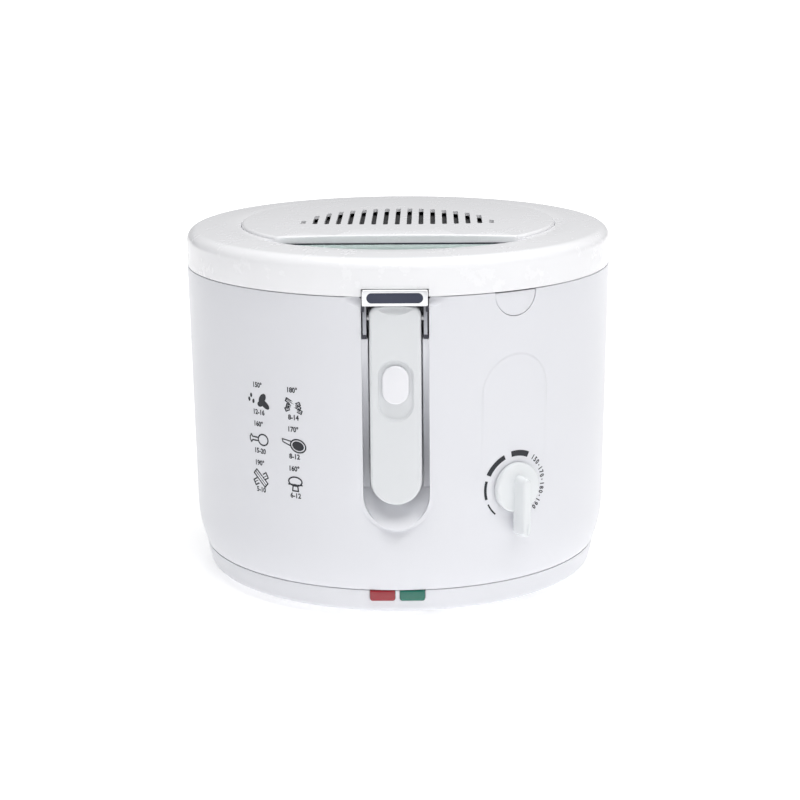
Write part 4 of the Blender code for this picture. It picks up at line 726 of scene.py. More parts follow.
def add_hinge_block(housing):
    block = bmesh.new()
    made = slab(block, (-0.035, HINGE_Y - 0.0055, 0.1711), (0.035, HINGE_Y + 0.0055, HINGE_Z))
    for vert in made:
        if vert.co.z < 0.18:
            vert.co.z = 0.1711 if vert.co.y > HINGE_Y else 0.1790
            vert.co.y = min(vert.co.y, HINGE_Y + 0.0010)
    join(housing, temporary(block))
    knuckle = bmesh.new()
    rod(knuckle, 0.0055, (-0.035, HINGE_Y, HINGE_Z), (0.035, HINGE_Y, HINGE_Z), 48)
    join(housing, temporary(knuckle))
    gap = bmesh.new()
    for side in (-1, 1):
        low, high = sorted((side * 0.0205, side * 0.0275))
        slab(gap, (low, HINGE_Y - 0.010, HINGE_Z - 0.0049), (high, HINGE_Y + 0.010, HINGE_Z + 0.010))
    cut(housing, temporary(gap))
    bore = bmesh.new()
    rod(bore, 0.0023, (-0.04, HINGE_Y, HINGE_Z), (0.04, HINGE_Y, HINGE_Z), 24)
    cut(housing, temporary(bore))


def make_base_pan():
    top = SEAM_HEIGHT - 0.0003
    profile = [(SEAM_RADIUS - 0.0006, top), (SEAM_RADIUS - 0.0001, top - 0.0003)]
    profile.append((SEAM_RADIUS - 0.0003, top - 0.0025))
    profile += [(0.1238, 0.0130)] + arc((0.1182, 0.0089), 0.0045, 0.0, -90.0, 8)
    profile += [(0.0, 0.0044), (0.0, 0.0068), (0.1182, 0.0068), (0.1223, 0.0129), (0.1223, top)]
    pan = temporary(lathe(profile))
    tools = bmesh.new()
    for index in range(4):
        for angle, circle, radius in ((45.0, FOOT_CIRCLE, 0.0033), (10.0, SCREW_CIRCLE, 0.0021)):
            turn = math.radians(angle + 90.0 * index)
            spot = Vector((circle * math.sin(turn), -circle * math.cos(turn), 0.0))
            rod(tools, radius, spot, spot + Vector((0, 0, 0.010)), 24)
    for row in range(5):
        slab(tools, (-0.025, 0.030 + 0.008 * row, 0.0), (0.025, 0.033 + 0.008 * row, 0.010), 0.0010, 3)
    for side in (-1, 1):
        middle = side * 0.0089
        made = slab(tools, (middle - 0.0077, -0.1347, 0.0123), (middle + 0.0077, -0.1127, 0.0233))
        edges = {e for v in made for e in v.link_edges if all(w.co.z < 0.0130 for w in e.verts)
                 and abs(e.verts[0].co.x - e.verts[1].co.x) < 0.0001}
        ease(tools, edges, 0.0016, 5)
    cut(pan, temporary(tools))
    finish(pan, "base_pan_shell", HOUSING_WHITE, "base", ["base_pan"])


def make_lamps():
    for name, material in (("red", RED_LENS), ("green", GREEN_LENS)):
        low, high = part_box(f"lens_{name}")
        lens = bmesh.new()
        slab(lens, low, high)
        edges = [e for e in lens.edges if abs(e.verts[0].co.x - e.verts[1].co.x) < 0.0001
                 and all(v.co.z < low.z + 0.0001 for v in e.verts)]
        ease(lens, edges, 0.0015, 5)
        soften(lens, 0.0003, 2, 50.0)
        item = temporary(lens)
        grooves = bmesh.new()
        for step in range(5):
            x = low.x + (high.x - low.x) * (step + 1) / 6
            rod(grooves, 0.0007, (x, high.y, low.z + 0.001), (x, high.y, high.z - 0.001), 12)
        cut(item, temporary(grooves))
        finish(item, f"lamp_{name}", material, "base", [f"lens_{name}"])


def make_feet():
    for index in range(4):
        turn = math.radians(45.0 + 90.0 * index)
        spot = Matrix.Translation((FOOT_CIRCLE * math.sin(turn), -FOOT_CIRCLE * math.cos(turn), 0.0))
        profile = [(0.0, 0.0082), (0.0030, 0.0082), (0.0030, 0.0041), (0.0088, 0.0041), (0.0090, 0.0036),
                   (0.0088, 0.0012), (0.0082, 0.0003), (0.0074, 0.0), (0.0050, 0.0), (0.0044, 0.0006),
                    (0.0, 0.0006)]
        foot = lathe(profile, closed=False, steps=48)
        bmesh.ops.transform(foot, matrix=spot, verts=foot.verts)
        finish(foot, f"rubber_foot_{index + 1}", RUBBER, "base", [f"foot_{index + 1}"])
        turn = math.radians(10.0 + 90.0 * index)
        place = Vector((0.1060 * math.sin(turn), -0.1060 * math.cos(turn), 0.0))
        head = [(0.0, 0.0244), (0.0009, 0.0244), (0.0018, 0.0224), (0.0018, 0.0041), (0.0038, 0.0041),
                (0.0036, 0.0030), (0.0028, 0.0023), (0.0, 0.0019)]
        screw = lathe(head, closed=False, steps=32)
        bmesh.ops.translate(screw, vec=place, verts=screw.verts)
        item = temporary(screw)
        for angle in (0.0, math.radians(90.0)):
            cross = bmesh.new()
            slab(cross, (-0.0020, -0.0004, -0.001), (0.0020, 0.0004, 0.0033))
            cut(item, temporary(cross, Matrix.Translation(place) @ Matrix.Rotation(angle + turn, 4, "Z")))
        finish(item, f"pan_screw_{index + 1}", PLAIN_STEEL, "base", [f"base_screw_{index + 1}"])


def make_lid():
    shoulder = DRUM_RADIUS - LID_ROUND
    wall = 0.0022
    under = INSET_FLOOR - wall
    profile = [(0.0, INSET_FLOOR), (INSET_RADIUS, INSET_FLOOR), (INSET_RADIUS, LID_TOP - 0.0005)]
    profile += [(INSET_RADIUS + 0.0002, LID_TOP - 0.0001), (INSET_RADIUS + 0.0007, LID_TOP)]
    profile.append((0.1120, 0.2202))
    profile += arc((shoulder, LID_SHOULDER), LID_ROUND, 90.0, 0.0, 14)
    profile += [(DRUM_RADIUS, LID_LOW + 0.0006), (DRUM_RADIUS - 0.0002, LID_LOW + 0.0001)]
    profile.append((DRUM_RADIUS - 0.0007, LID_LOW))
    profile += [(DRUM_RADIUS - wall, LID_LOW)]
    profile += arc((shoulder, LID_SHOULDER), LID_ROUND - wall, 0.0, 90.0, 6)
    profile += [(INSET_RADIUS + wall, LID_TOP - wall), (INSET_RADIUS + wall, under), (0.0, under)]
    lid = temporary(lathe(profile, closed=False))
    tools = bmesh.new()
    slab(tools, (-0.0360, HINGE_Y - 0.0115, LID_LOW - 0.01), (0.0360, 0.1425, 0.2093))
    slab(tools, (-0.0194, -0.1425, LID_LOW - 0.01), (0.0194, -0.1225, 0.2021))
    rod(tools, 0.0480, (0, 0.005, under - 0.005), (0, 0.005, INSET_FLOOR + 0.005), 96)
    cut(lid, temporary(tools))
    cut(lid, temporary(segment(INSET_RADIUS - 0.004, GLASS_CHORD + 0.004, under - 0.005, 0.013)))
    bay = lathe([(INSET_RADIUS + 0.0062, LID_TOP + 0.0020), (INSET_RADIUS + 0.0062, LID_TOP),
                 (INSET_RADIUS + 0.0050, LID_TOP - 0.0003),
                 (INSET_RADIUS + 0.0006, LID_TOP - 0.0022), (INSET_RADIUS - 0.0010, LID_TOP - 0.0026),
                 (INSET_RADIUS - 0.0010, LID_TOP + 0.0020)])
    trim(bay, (0, -GLASS_CHORD + 0.0005, 0), (0, 1, 0))
    cut(lid, temporary(bay))
    lugs = bmesh.new()
    for side in (-1, 1):
        low, high = sorted((side * 0.0210, side * 0.0270))
        rod(lugs, 0.0045, (low, HINGE_Y, HINGE_Z), (high, HINGE_Y, HINGE_Z), 40)
    join(lid, temporary(lugs))
    arms = bmesh.new()
    for side in (-1, 1):
        low, high = sorted((side * 0.0210, side * 0.0270))
        made = slab(arms, (low, HINGE_Y - 0.0045, HINGE_Z), (high, HINGE_Y + 0.0045, 0.2165))
        for vert in made:
            if vert.co.z > 0.21 and vert.co.y > HINGE_Y:
                vert.co.y = HINGE_Y + 0.0028
    join(lid, temporary(arms))
    bore = bmesh.new()
    rod(bore, 0.0023, (-0.037, HINGE_Y, HINGE_Z), (0.037, HINGE_Y, HINGE_Z), 24)
    cut(lid, temporary(bore))
    finish(lid, "lid_dome", LID_PAINTED_BRIGHT_WHITE, "lid", ["lid_shell"])


def trim(bm, place, direction):
    """Cuts off what lies beyond a plane and closes the cut."""
    geom = bm.verts[:] + bm.edges[:] + bm.faces[:]
    made = bmesh.ops.bisect_plane(
        bm, geom=geom, dist=0.000001, plane_co=place, plane_no=direction, clear_outer=True
    )
    edges = [item for item in made["geom_cut"] if isinstance(item, bmesh.types.BMEdge)]
    bmesh.ops.holes_fill(bm, edges=edges)
    bmesh.ops.recalc_face_normals(bm, faces=bm.faces)


def segment(radius, chord, low, thickness, steps=192):
    """A disc's front segment as a solid plate."""
    bm = bmesh.new()
    bmesh.ops.create_circle(bm, cap_ends=True, segments=steps, radius=radius)
    geom = bm.verts[:] + bm.edges[:] + bm.faces[:]
    bmesh.ops.bisect_plane(bm, geom=geom, plane_co=(0, -chord, 0), plane_no=(0, 1, 0), clear_outer=True)
    thicken(bm, thickness)
    bmesh.ops.translate(bm, vec=(0, 0, low), verts=bm.verts)
    return bm


def make_window():
    glass = segment(INSET_RADIUS - 0.0003, GLASS_CHORD + 0.0003, INSET_FLOOR + 0.0003, 0.0047)
    soften(glass, 0.0009, 3, 40.0)
    finish(glass, "lid_window", WINDOW_GLASS, "lid", ["window_glass"])
    pane = segment(0.0970, GLASS_CHORD, 0.2003, 0.0020)
    soften(pane, 0.0004, 2, 40.0)
    finish(pane, "inner_window", WINDOW_GLASS, "lid", ["window_inner"])


def make_cover():
    radius = INSET_RADIUS - 0.0004
    low = INSET_FLOOR + 0.0003
    crown = [(0.0, 0.2238), (0.020, 0.22375), (0.0491, 0.2234), (0.075, 0.2229), (radius - 0.0024, 0.2222)]
    rim = arc((radius - 0.0020, 0.2202), 0.0020, 80.0, 0.0, 5)
    dome = lathe(crown + rim + [(radius, low), (0.0, low)], closed=False)
    trim(dome, (0, -GLASS_CHORD, 0), (0, -1, 0))
    front = [e for e in dome.edges if all(abs(v.co.y + GLASS_CHORD) < 0.00002 for v in e.verts)
             and min(v.co.z for v in e.verts) > 0.2195 and e.calc_face_angle(0.0) > 0.8]
    ease(dome, front, 0.0012, 4)
    cover = temporary(dome)
    hollow = lathe([(0.0, 0.2218), (0.0491, 0.2214), (radius - 0.004, 0.2202), (radius - 0.0022, 0.2190),
                    (radius - 0.0022, low - 0.002), (0.0, low - 0.002)], closed=False)
    trim(hollow, (0, -GLASS_CHORD + 0.002, 0), (0, -1, 0))
    cut(cover, temporary(hollow))
    slots = bmesh.new()
    for index in range(17):
        x = (index - 8) * SLOT_PITCH
        front = SLOT_BASELINE + SLOT_BASELINE_RISE * (x / (8 * SLOT_PITCH)) ** 2
        back = SLOT_FIELD_CENTRE + math.sqrt(SLOT_FIELD_RADIUS**2 - x * x)
        slot = stadium(SLOT_HALF_WIDTH, front, back, 16)
        thicken(slot, 0.012)
        bmesh.ops.translate(slot, vec=(x, 0.0, 0.2160), verts=slot.verts)
        mesh = bpy.data.meshes.new("slot")
        slot.to_mesh(mesh)
        slot.free()
        slots.from_mesh(mesh)
        bpy.data.meshes.remove(mesh)
    cut(cover, temporary(slots))
    finish(cover, "vent_cover", LID_PAINTED_BRIGHT_WHITE, "filter_cover", ["filter_cover"])
    # Dark foam pads inside the cover under the two end slots: painted shade that darkens those slots.
    ends = bmesh.new()
    for side in (-1, 1):
        low, high = sorted((side * 0.0554, side * 0.0630))
        slab(ends, (low, -0.0260, 0.2172), (high, -0.0060, 0.2190), 0.0004, 2)
    finish(ends, "end_slot_painted_shade", FILTER_FOAM, "filter_cover")
    # Thin dark strip along the cover's front edge: painted shadow in the gap between the vent cover and the
    # window.
    painted_shadow_line = bmesh.new()
    slab(painted_shadow_line, (-0.0715, -GLASS_CHORD - 0.0006, 0.2172), (0.0715, -GLASS_CHORD + 0.0004, 0.2181), 0.0002, 2)
    finish(painted_shadow_line, "cover_front_painted_shadow_line", DARK_PAD_AND_PAINTED_SHADE, "filter_cover")


def make_inner_lid():
    profile = [(0.0, 0.2000), (0.1158, 0.2000), (0.1165, 0.2007), (0.1165, 0.2058), (0.1175, 0.2060),
               (0.1180, 0.2056),
               (0.1180, 0.1993), (0.1172, 0.1985), (0.0900, 0.1985), (0.0885, 0.1990), (0.0, 0.1990)]
    plate = temporary(lathe(profile, closed=False))
    tools = segment(0.0930, GLASS_CHORD + 0.004, 0.1945, 0.010)
    for ring, count in ((0.0, 1), (0.022, 6), (0.036, 8)):
        for index in range(count):
            angle = 2 * math.pi * index / count
            spot = Vector((ring * math.cos(angle), 0.005 + ring * math.sin(angle), 0.19))
            rod(tools, 0.0040, spot, spot + Vector((0, 0, 0.02)), 24)
    cut(plate, temporary(tools))
    finish(plate, "inner_lid_plate", ALUMINIUM, "lid", ["inner_lid"])
    outer = 0.1074
    inner = outer - 0.0036
    low, top = 0.1941, 0.1982
    profile = [(outer, top), (outer, top - 0.0010), (outer - 0.0008, low + 0.0006)] + arc(
        (outer - 0.0018, low + 0.0006), 0.0006, 0.0, -180.0, 6)
    profile += [(inner + 0.0008, low + 0.0006), (inner, top - 0.0010), (inner, top)]
    seal = temporary(lathe(profile))
    notch = bmesh.new()
    slab(notch, (-0.0135, -0.1180, low - 0.002), (0.0135, -inner + 0.01, 0.1959))
    cut(seal, temporary(notch))
    finish(seal, "lid_gasket", SEAL_GREY, "lid", ["lid_seal"])


def make_bowl():
    profile = [(0.1078, 0.1934), (0.1074, 0.1938), (0.1036, 0.1938), (0.1031, 0.1934)]
    inside = arc((0.0850, 0.0940), 0.0180, 0.0, -90.0, 12)
    profile += inside + [(0.0, 0.0760), (0.0, 0.0745)]
    profile += arc((0.0850, 0.0940), 0.0195, -90.0, 0.0, 12)
    profile += [(0.1045, 0.1923), (0.1074, 0.1923), (0.1078, 0.1927)]
    bowl = temporary(lathe(profile, closed=True))
    marks = bmesh.new()
    for height in (0.1150, 0.1500):
        slab(marks, (-0.009, 0.1020, height - 0.0004), (0.009, 0.1034, height + 0.0004))
    cut(bowl, temporary(marks))
    finish(bowl, "frying_bowl", BOWL_COATING, "base", ["bowl"])
    top = 0.1920
    profile = [(0.1292, top), (0.1296, top - 0.0004), (0.1292, top - 0.0080), (0.1274, top - 0.0080),
               (0.1274, top - 0.0022), (0.1049, top - 0.0022), (0.1049, top), (0.1082, top),
               (0.1082, top + 0.0026),
               (0.1084, top + 0.0028), (0.1100, top + 0.0028), (0.1102, top + 0.0026), (0.1102, top)]
    collar = temporary(lathe(profile))
    notch = bmesh.new()
    slab(notch, (-0.0221, -0.1425, 0.17), (0.0221, -0.1079, 0.22))
    cut(collar, temporary(notch))
    notch = bmesh.new()
    slab(notch, (-0.0354, 0.1221, 0.17), (0.0354, 0.1425, 0.22))
    cut(collar, temporary(notch))
    notch = bmesh.new()
    slab(notch, (-0.0124, -0.1325, top + 0.0003), (0.0124, -0.1030, 0.22))
    cut(collar, temporary(notch))
    slot = bmesh.new()
    slab(slot, (-0.0085, -0.008, -0.02), (0.0085, 0.008, 0.02))
    upright = outwards(RELEASE_ANGLE, 0.190, 0.1205) @ Matrix.Rotation(math.radians(-90), 4, "X")
    cut(collar, temporary(slot, upright))
    finish(collar, "rim_collar_ring", HOUSING_WHITE, "base", ["rim_collar"])


def make_bracket():
    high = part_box("handle_bracket")[1]
    half = high.x
    bottom, top = PLATE_LOW, high.z
    middle = (bottom + top) / 2
    face = bmesh.new()
    slab(face, (-half, -0.0024, bottom), (half, 0.0, top))
    upright = [e for e in face.edges if abs(e.verts[0].co.y - e.verts[1].co.y) > 0.001]
    ease(face, upright, 0.0008, 3)
    rim = [e for e in face.edges if all(v.co.y < -0.0023 for v in e.verts)]
    ease(face, rim, 0.0005, 3)
    bmesh.ops.translate(face, vec=(0.0, -0.1316, 0.0), verts=face.verts)
    hole = stadium(REFLECTION_PANEL_HALF, -REFLECTION_PANEL_REACH, REFLECTION_PANEL_REACH, 48)
    thicken(hole, 0.0030)
    sideways = outwards(0.0, middle + 0.0001, 0.1334) @ Matrix.Rotation(math.radians(90.0), 4, "Z")
    plate = cut(temporary(face), temporary(hole, sideways))
    finish(plate, "bracket_plate", CHROME, "base", ["handle_bracket"], sharp=25.0)
    # Thin dark sheet filling the plate's cut-out middle: painted reflection of the dark studio in the
    # chrome.
    painted_reflection = stadium(REFLECTION_PANEL_HALF, -REFLECTION_PANEL_REACH, REFLECTION_PANEL_REACH, 48)
    thicken(painted_reflection, 0.0003)
    sideways = outwards(0.0, middle + 0.0001, 0.1333) @ Matrix.Rotation(math.radians(90.0), 4, "Z")
    bmesh.ops.transform(painted_reflection, matrix=sideways, verts=painted_reflection.verts)
    finish(painted_reflection, "bracket_painted_reflection", CHROME_PAINTED_DARK_REFLECTION, "base")
    # Cheeks, strap and tongue in the darker steel, a painted shade.
    arms = bmesh.new()
    for side in (-1, 1):
        a, b = sorted((side * 0.0186, side * 0.0164))
        slab(arms, (a, -0.1320, 0.1735), (b, -0.1140, 0.1956), 0.0003, 2)
    slab(arms, (-0.0120, -0.1318, 0.1942), (0.0120, -0.0995, 0.1956), 0.0004, 2)
    slab(arms, (-0.0090, -0.1009, 0.0950), (0.0090, -0.0995, 0.1952), 0.0004, 2)
    finish(arms, "bracket_arms", CHEEK_STEEL_PAINTED_SHADE, "base")
    # Small dark pads at the cheeks' lower ends, and at their tops just under the plate.
    dark_pads = bmesh.new()
    for side in (-1, 1):
        a, b = sorted((side * 0.0190, side * 0.0163))
        slab(dark_pads, (a, -0.1324, 0.1732), (b, -0.1250, 0.1756), 0.0002, 1)
        a, b = sorted((side * 0.0193, side * 0.0176))
        slab(dark_pads, (a, -0.1326, 0.1890), (b, -0.1290, 0.1922), 0.0002, 1)
    finish(dark_pads, "bracket_dark_pads", DARK_PAD_AND_PAINTED_SHADE, "base")


def handle_shape(margin, top):
    """The handle's outline from the front, half-round below and cut straight across at the top, as a flat
    face.
    """
    half = HANDLE_HALF - margin
    bm = stadium(half, HANDLE_LOW + margin, top + half, 64)
    geom = bm.verts[:] + bm.edges[:] + bm.faces[:]
    bmesh.ops.bisect_plane(
        bm, geom=geom, dist=0.000001, plane_co=(0, top, 0), plane_no=(0, 1, 0), clear_outer=True
    )
    bmesh.ops.dissolve_limit(bm, angle_limit=0.001, verts=bm.verts, edges=bm.edges)
    return bm


def make_handle():
    grip = handle_shape(0.0, HANDLE_HIGH)
    bmesh.ops.delete(grip, geom=[f for f in grip.faces if f.calc_area() < 1e-9], context="FACES")
    corners = [v for v in grip.verts if v.co.y > HANDLE_HIGH - 0.0001]
    bmesh.ops.bevel(
        grip, geom=corners, offset=0.0048, segments=8, affect="VERTICES", profile=0.5, material=-1
    )
    thicken(grip, HANDLE_FACE - HANDLE_BACK)
    front = [e for e in grip.edges if all(v.co.z > 0.0128 for v in e.verts) and e.calc_face_angle(0.0) > 1.0]
    ease(grip, front, 0.0021, 6)
    back = [e for e in grip.edges if all(v.co.z < 0.0001 for v in e.verts) and e.calc_face_angle(0.0) > 1.0]
    ease(grip, back, 0.0008, 3)
    handle = temporary(grip, outwards(0.0, 0.0, HANDLE_BACK))
    scoop = bmesh.new()
    bmesh.ops.create_uvsphere(scoop, u_segments=64, v_segments=32, radius=1.0)
    bmesh.ops.scale(scoop, vec=(0.0128, 0.0040, 0.0075), verts=scoop.verts)
    bmesh.ops.translate(scoop, vec=(0.0, -HANDLE_FACE - 0.0018, HANDLE_HIGH + 0.0020), verts=scoop.verts)
    cut(handle, temporary(scoop))
    thumb = stadium(THUMB_HALF - 0.0006, THUMB_LOW + 0.0006, THUMB_HIGH - 0.0006, 64)
    thicken(thumb, 0.0080)
    floor = [e for e in thumb.edges if all(v.co.z < 0.0001 for v in e.verts)]
    ease(thumb, floor, 0.0013, 5)
    cut(handle, temporary(thumb, outwards(0.0, 0.0, HANDLE_FACE - 0.0019)))
    flare = stadium(THUMB_HALF, THUMB_LOW, THUMB_HIGH, 64)
    thicken(flare, 0.0060)
    inner = [e for e in flare.edges if all(v.co.z < 0.0001 for v in e.verts)]
    ease(flare, inner, 0.0006, 3)
    cut(handle, temporary(flare, outwards(0.0, 0.0, HANDLE_FACE - 0.0006)))
    slot = bmesh.new()
    slab(slot, (-0.0043, -0.1334, 0.1380), (0.0043, -0.1264, 0.1497))
    cut(handle, temporary(slot))
    hollow = handle_shape(0.0025, 0.1795)
    thicken(hollow, 0.0110)
    cut(handle, temporary(hollow, outwards(0.0, 0.0, HANDLE_BACK - 0.0006)))
    bore = bmesh.new()
    rod(bore, 0.0023, (-0.02, -PIN_Y, PIN_Z), (0.02, -PIN_Y, PIN_Z), 24)
    cut(handle, temporary(bore))
    finish(handle, "handle_shell", HANDLE_WHITE, "handle", ["handle_grip"])
    cover = handle_shape(0.0028, 0.1792)
    thicken(cover, 0.0025)
    soften(cover, 0.0004, 2, 50.0)
    bmesh.ops.transform(cover, matrix=outwards(0.0, 0.0, HANDLE_BACK), verts=cover.verts)
    slab(cover, (-STEM_HALF, -0.1290, 0.1203), (STEM_HALF, -0.1215, 0.1223), 0.0002, 1)
    back_cover = temporary(cover)
    grooves = bmesh.new()
    for row in range(9):
        z = 0.0900 + 0.0055 * row
        rod(grooves, 0.0006, (-0.0085, -HANDLE_BACK, z), (0.0085, -HANDLE_BACK, z), 12)
    cut(back_cover, temporary(grooves))
    finish(back_cover, "handle_back_cover", HANDLE_WHITE, "handle", ["handle_back"])
    button = stadium(BUTTON_HALF, BUTTON_LOW, BUTTON_HIGH, 64)
    thicken(button, 0.0019)
    edge = [e for e in button.edges if all(v.co.z > 0.0018 for v in e.verts)]
    ease(button, edge, 0.0013, 5)
    bmesh.ops.transform(button, matrix=outwards(0.0, 0.0, 0.1309), verts=button.verts)
    slab(button, (-STEM_HALF, -0.1311, STEM_LOW), (STEM_HALF, -0.1260, STEM_HIGH))
    slab(button, (-STEM_HALF, -0.1274, 0.1330), (STEM_HALF, -0.1256, STEM_HIGH), 0.0002, 1)
    finish(button, "slide_button", BUTTON_WHITE, "lock_button", ["lock_button"])


def make_release():
    outer = DRUM_RADIUS - 0.0004
    disc = bmesh.new()
    bmesh.ops.create_circle(disc, cap_ends=True, segments=96, radius=RELEASE_RADIUS)
    geom = disc.verts[:] + disc.edges[:] + disc.faces[:]
    bmesh.ops.bisect_plane(disc, geom=geom, plane_co=(0, 0, 0), plane_no=(0, 1, 0), clear_outer=True)
    thicken(disc, 0.0060)
    bmesh.ops.transform(disc, matrix=outwards(RELEASE_ANGLE, RELEASE_TOP, outer - 0.0040), verts=disc.verts)
    button = temporary(disc)
    skin = lathe([(0.1281, 0.170), (0.1281, 0.205), (outer + 0.0001, 0.205), (outer - 0.0003, 0.170)])
    combine(button, temporary(skin), "INTERSECT")
    finish(button, "release_key", HOUSING_WHITE, "release_button", ["release_button"],
           edge=0.0004)


def make_dial():
    wall = drum_radius(DIAL_HEIGHT)
    seat = outwards(DIAL_ANGLE, DIAL_HEIGHT, wall)
    disc = bmesh.new()
    rod(disc, 0.0150, (0, 0, 0.0006), (0, 0, 0.0041), 96)
    rim = [e for e in disc.edges if all(v.co.z > 0.0040 for v in e.verts)]
    ease(disc, rim, 0.0014, 5)
    knob = temporary(disc)
    bar = stadium(0.0036, -0.0290, 0.0080, 48)
    top = thicken(bar, 0.0099)
    for vert in top:
        vert.co.x *= 0.80
        vert.co.y = -0.0105 + (vert.co.y + 0.0105) * 0.96
    edge = [e for e in bar.edges if all(v.co.z > 0.0098 for v in e.verts)]
    ease(bar, edge, 0.0016, 5)
    low = [e for e in bar.edges if all(v.co.z < 0.0001 for v in e.verts)]
    ease(bar, low, 0.0005, 2)
    bmesh.ops.translate(bar, vec=(0, 0, 0.0031), verts=bar.verts)
    join(knob, temporary(bar))
    mark = bmesh.new()
    slab(mark, (-0.0004, -0.0275, 0.0126), (0.0004, -0.0200, 0.0140))
    cut(knob, temporary(mark))
    knob.data.transform(seat)
    finish(knob, "dial_grip", DIAL_WHITE, "dial", ["dial_knob"])


def make_basket():
    """Woven wire cup with a hemmed rim, hung on its hanger plate."""
    wire = 0.00045
    bm = bmesh.new()

    def ring(radius, height, thick, steps=96):
        made = bmesh.ops.create_circle(bm, cap_ends=False, segments=8, radius=thick)["verts"]
        place = Matrix.Translation((radius, 0, height)) @ Matrix.Rotation(math.radians(90.0), 4, "X")
        bmesh.ops.transform(bm, matrix=place, verts=made)
        edges = list({e for v in made for e in v.link_edges})
        bmesh.ops.spin(bm, geom=made + edges, cent=(0, 0, 0), axis=(0, 0, 1), angle=2 * math.pi, steps=steps,
                       use_merge=True)

    for row in range(22):
        height = 0.0850 + 0.0025 * row
        ring(0.0901 + (height - 0.0855) / 0.0535 * 0.0026, height, wire, 72)
    for radius in [0.0035 * step for step in range(1, 25)]:
        ring(radius, 0.0800, wire, 48)
    clean(bm, 0.000001)
    finish(bm, "basket_rings", BASKET_WIRE, "basket", ["basket_mesh"])
    uprights = bmesh.new()
    count = 180
    for index in range(count):
        angle = 2 * math.pi * index / count
        starts = ((30, 0.0040), (6, 0.0200), (3, 0.0450), (1, 0.0700))
        start = next(reach for step, reach in starts if index % step == 0)
        path = [(start, 0.0803), (0.0840, 0.0803), (0.0878, 0.0818), (0.0895, 0.0855), (0.0926, 0.1390)]
        spokes(uprights, path, angle, wire)
    finish(uprights, "basket_uprights", BASKET_WIRE, "basket")
    rim = bmesh.new()
    made = bmesh.ops.create_circle(rim, cap_ends=False, segments=20, radius=0.0018)["verts"]
    place = Matrix.Translation((0.0935, 0, 0.1411)) @ Matrix.Rotation(math.radians(90.0), 4, "X")
    bmesh.ops.transform(rim, matrix=place, verts=made)
    bmesh.ops.spin(rim, geom=rim.verts[:] + rim.edges[:], cent=(0, 0, 0), axis=(0, 0, 1), angle=2 * math.pi,
                   steps=160, use_merge=True)
    clean(rim)
    finish(rim, "basket_rim_wire", BASKET_WIRE, "basket", ["basket_rim"])
    hem = lathe([(0.0931, 0.1340), (0.0938, 0.1340), (0.0940, 0.1395), (0.0930, 0.1395)], steps=160)
    finish(hem, "basket_hem", BASKET_WIRE, "basket")
    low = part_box("basket_hanger")[0]
    hanger = bmesh.new()
    slab(hanger, (-0.0120, -0.0991, 0.1220), (0.0120, -0.0958, 0.1440), 0.0005, 2)
    for side in (-1, 1):
        a, b = sorted((side * 0.0094, side * 0.0120))
        slab(hanger, (a, low.y, 0.1221), (b, -0.0981, 0.1380), 0.0003, 2)
    finish(hanger, "basket_hook_plate", PLAIN_STEEL, "basket", ["basket_hanger"])


def spokes(bm, path, angle, thick):
    """One thin square wire that follows a path of radius and height at an angle."""
    made = bmesh.ops.create_circle(bm, cap_ends=True, segments=4, radius=thick)
    turn = Matrix.Rotation(angle, 4, "Z")
    across = Matrix.Rotation(math.radians(90.0), 4, "Y")
    face = made["verts"][0].link_faces[0]
    place = turn @ Matrix.Translation((path[0][0], 0, path[0][1])) @ across
    bmesh.ops.transform(bm, matrix=place, verts=face.verts[:])
    for first, second in zip(path, path[1:]):
        grown = bmesh.ops.extrude_face_region(bm, geom=[face])
        verts = [v for v in grown["geom"] if isinstance(v, bmesh.types.BMVert)]
        face = next(f for f in grown["geom"] if isinstance(f, bmesh.types.BMFace))
        move = turn @ Vector((second[0] - first[0], 0.0, second[1] - first[1]))
        bmesh.ops.translate(bm, vec=move, verts=verts)


# Prints on the drum


def wrap(bm, angle, height, lift=0.00008):
    """Lays flat artwork on the drum, with its middle at this angle and height."""
    for vert in bm.verts:
        z = height + vert.co.y
        radius = drum_radius(z) + lift
        turn = angle + vert.co.x / radius
        vert.co = Vector((radius * math.sin(turn), -radius * math.cos(turn), z))
    bmesh.ops.recalc_face_normals(bm, faces=bm.faces)
    for face in bm.faces:
        if face.normal.dot(face.calc_center_median() * Vector((1, 1, 0))) < 0:
            face.normal_flip()
    return bm


def blob(bm, x, y, wide, tall, turn=0.0, segments=20):
    made = bmesh.ops.create_circle(bm, cap_ends=True, segments=segments, radius=1.0)["verts"]
    place = Matrix.Translation((x, y, 0)) @ Matrix.Rotation(math.radians(turn), 4, "Z")
    bmesh.ops.transform(bm, matrix=place @ Matrix.Diagonal((wide, tall, 1.0, 1.0)), verts=made)
    return made


def hoop(bm, x, y, wide, tall, line, turn=0.0, segments=28):
    """An outlined oval."""
    made = blob(bm, x, y, wide, tall, turn, segments)
    face = made[0].link_faces[0]
    bmesh.ops.inset_region(bm, faces=[face], thickness=line, use_boundary=True)
    bmesh.ops.delete(bm, geom=[face], context="FACES_ONLY")


def line(bm, start, end, width):
    """A stroke with round ends."""
    start, end = Vector((*start, 0.0)), Vector((*end, 0.0))
    made = bmesh.ops.create_circle(bm, cap_ends=True, segments=12, radius=width / 2)["verts"]
    ahead = [v for v in made if v.co.x > 0]
    bmesh.ops.translate(bm, vec=((end - start).length, 0, 0), verts=ahead)
    turn = math.atan2(end.y - start.y, end.x - start.x)
    bmesh.ops.transform(bm, matrix=Matrix.Translation(start) @ Matrix.Rotation(turn, 4, "Z"), verts=made)


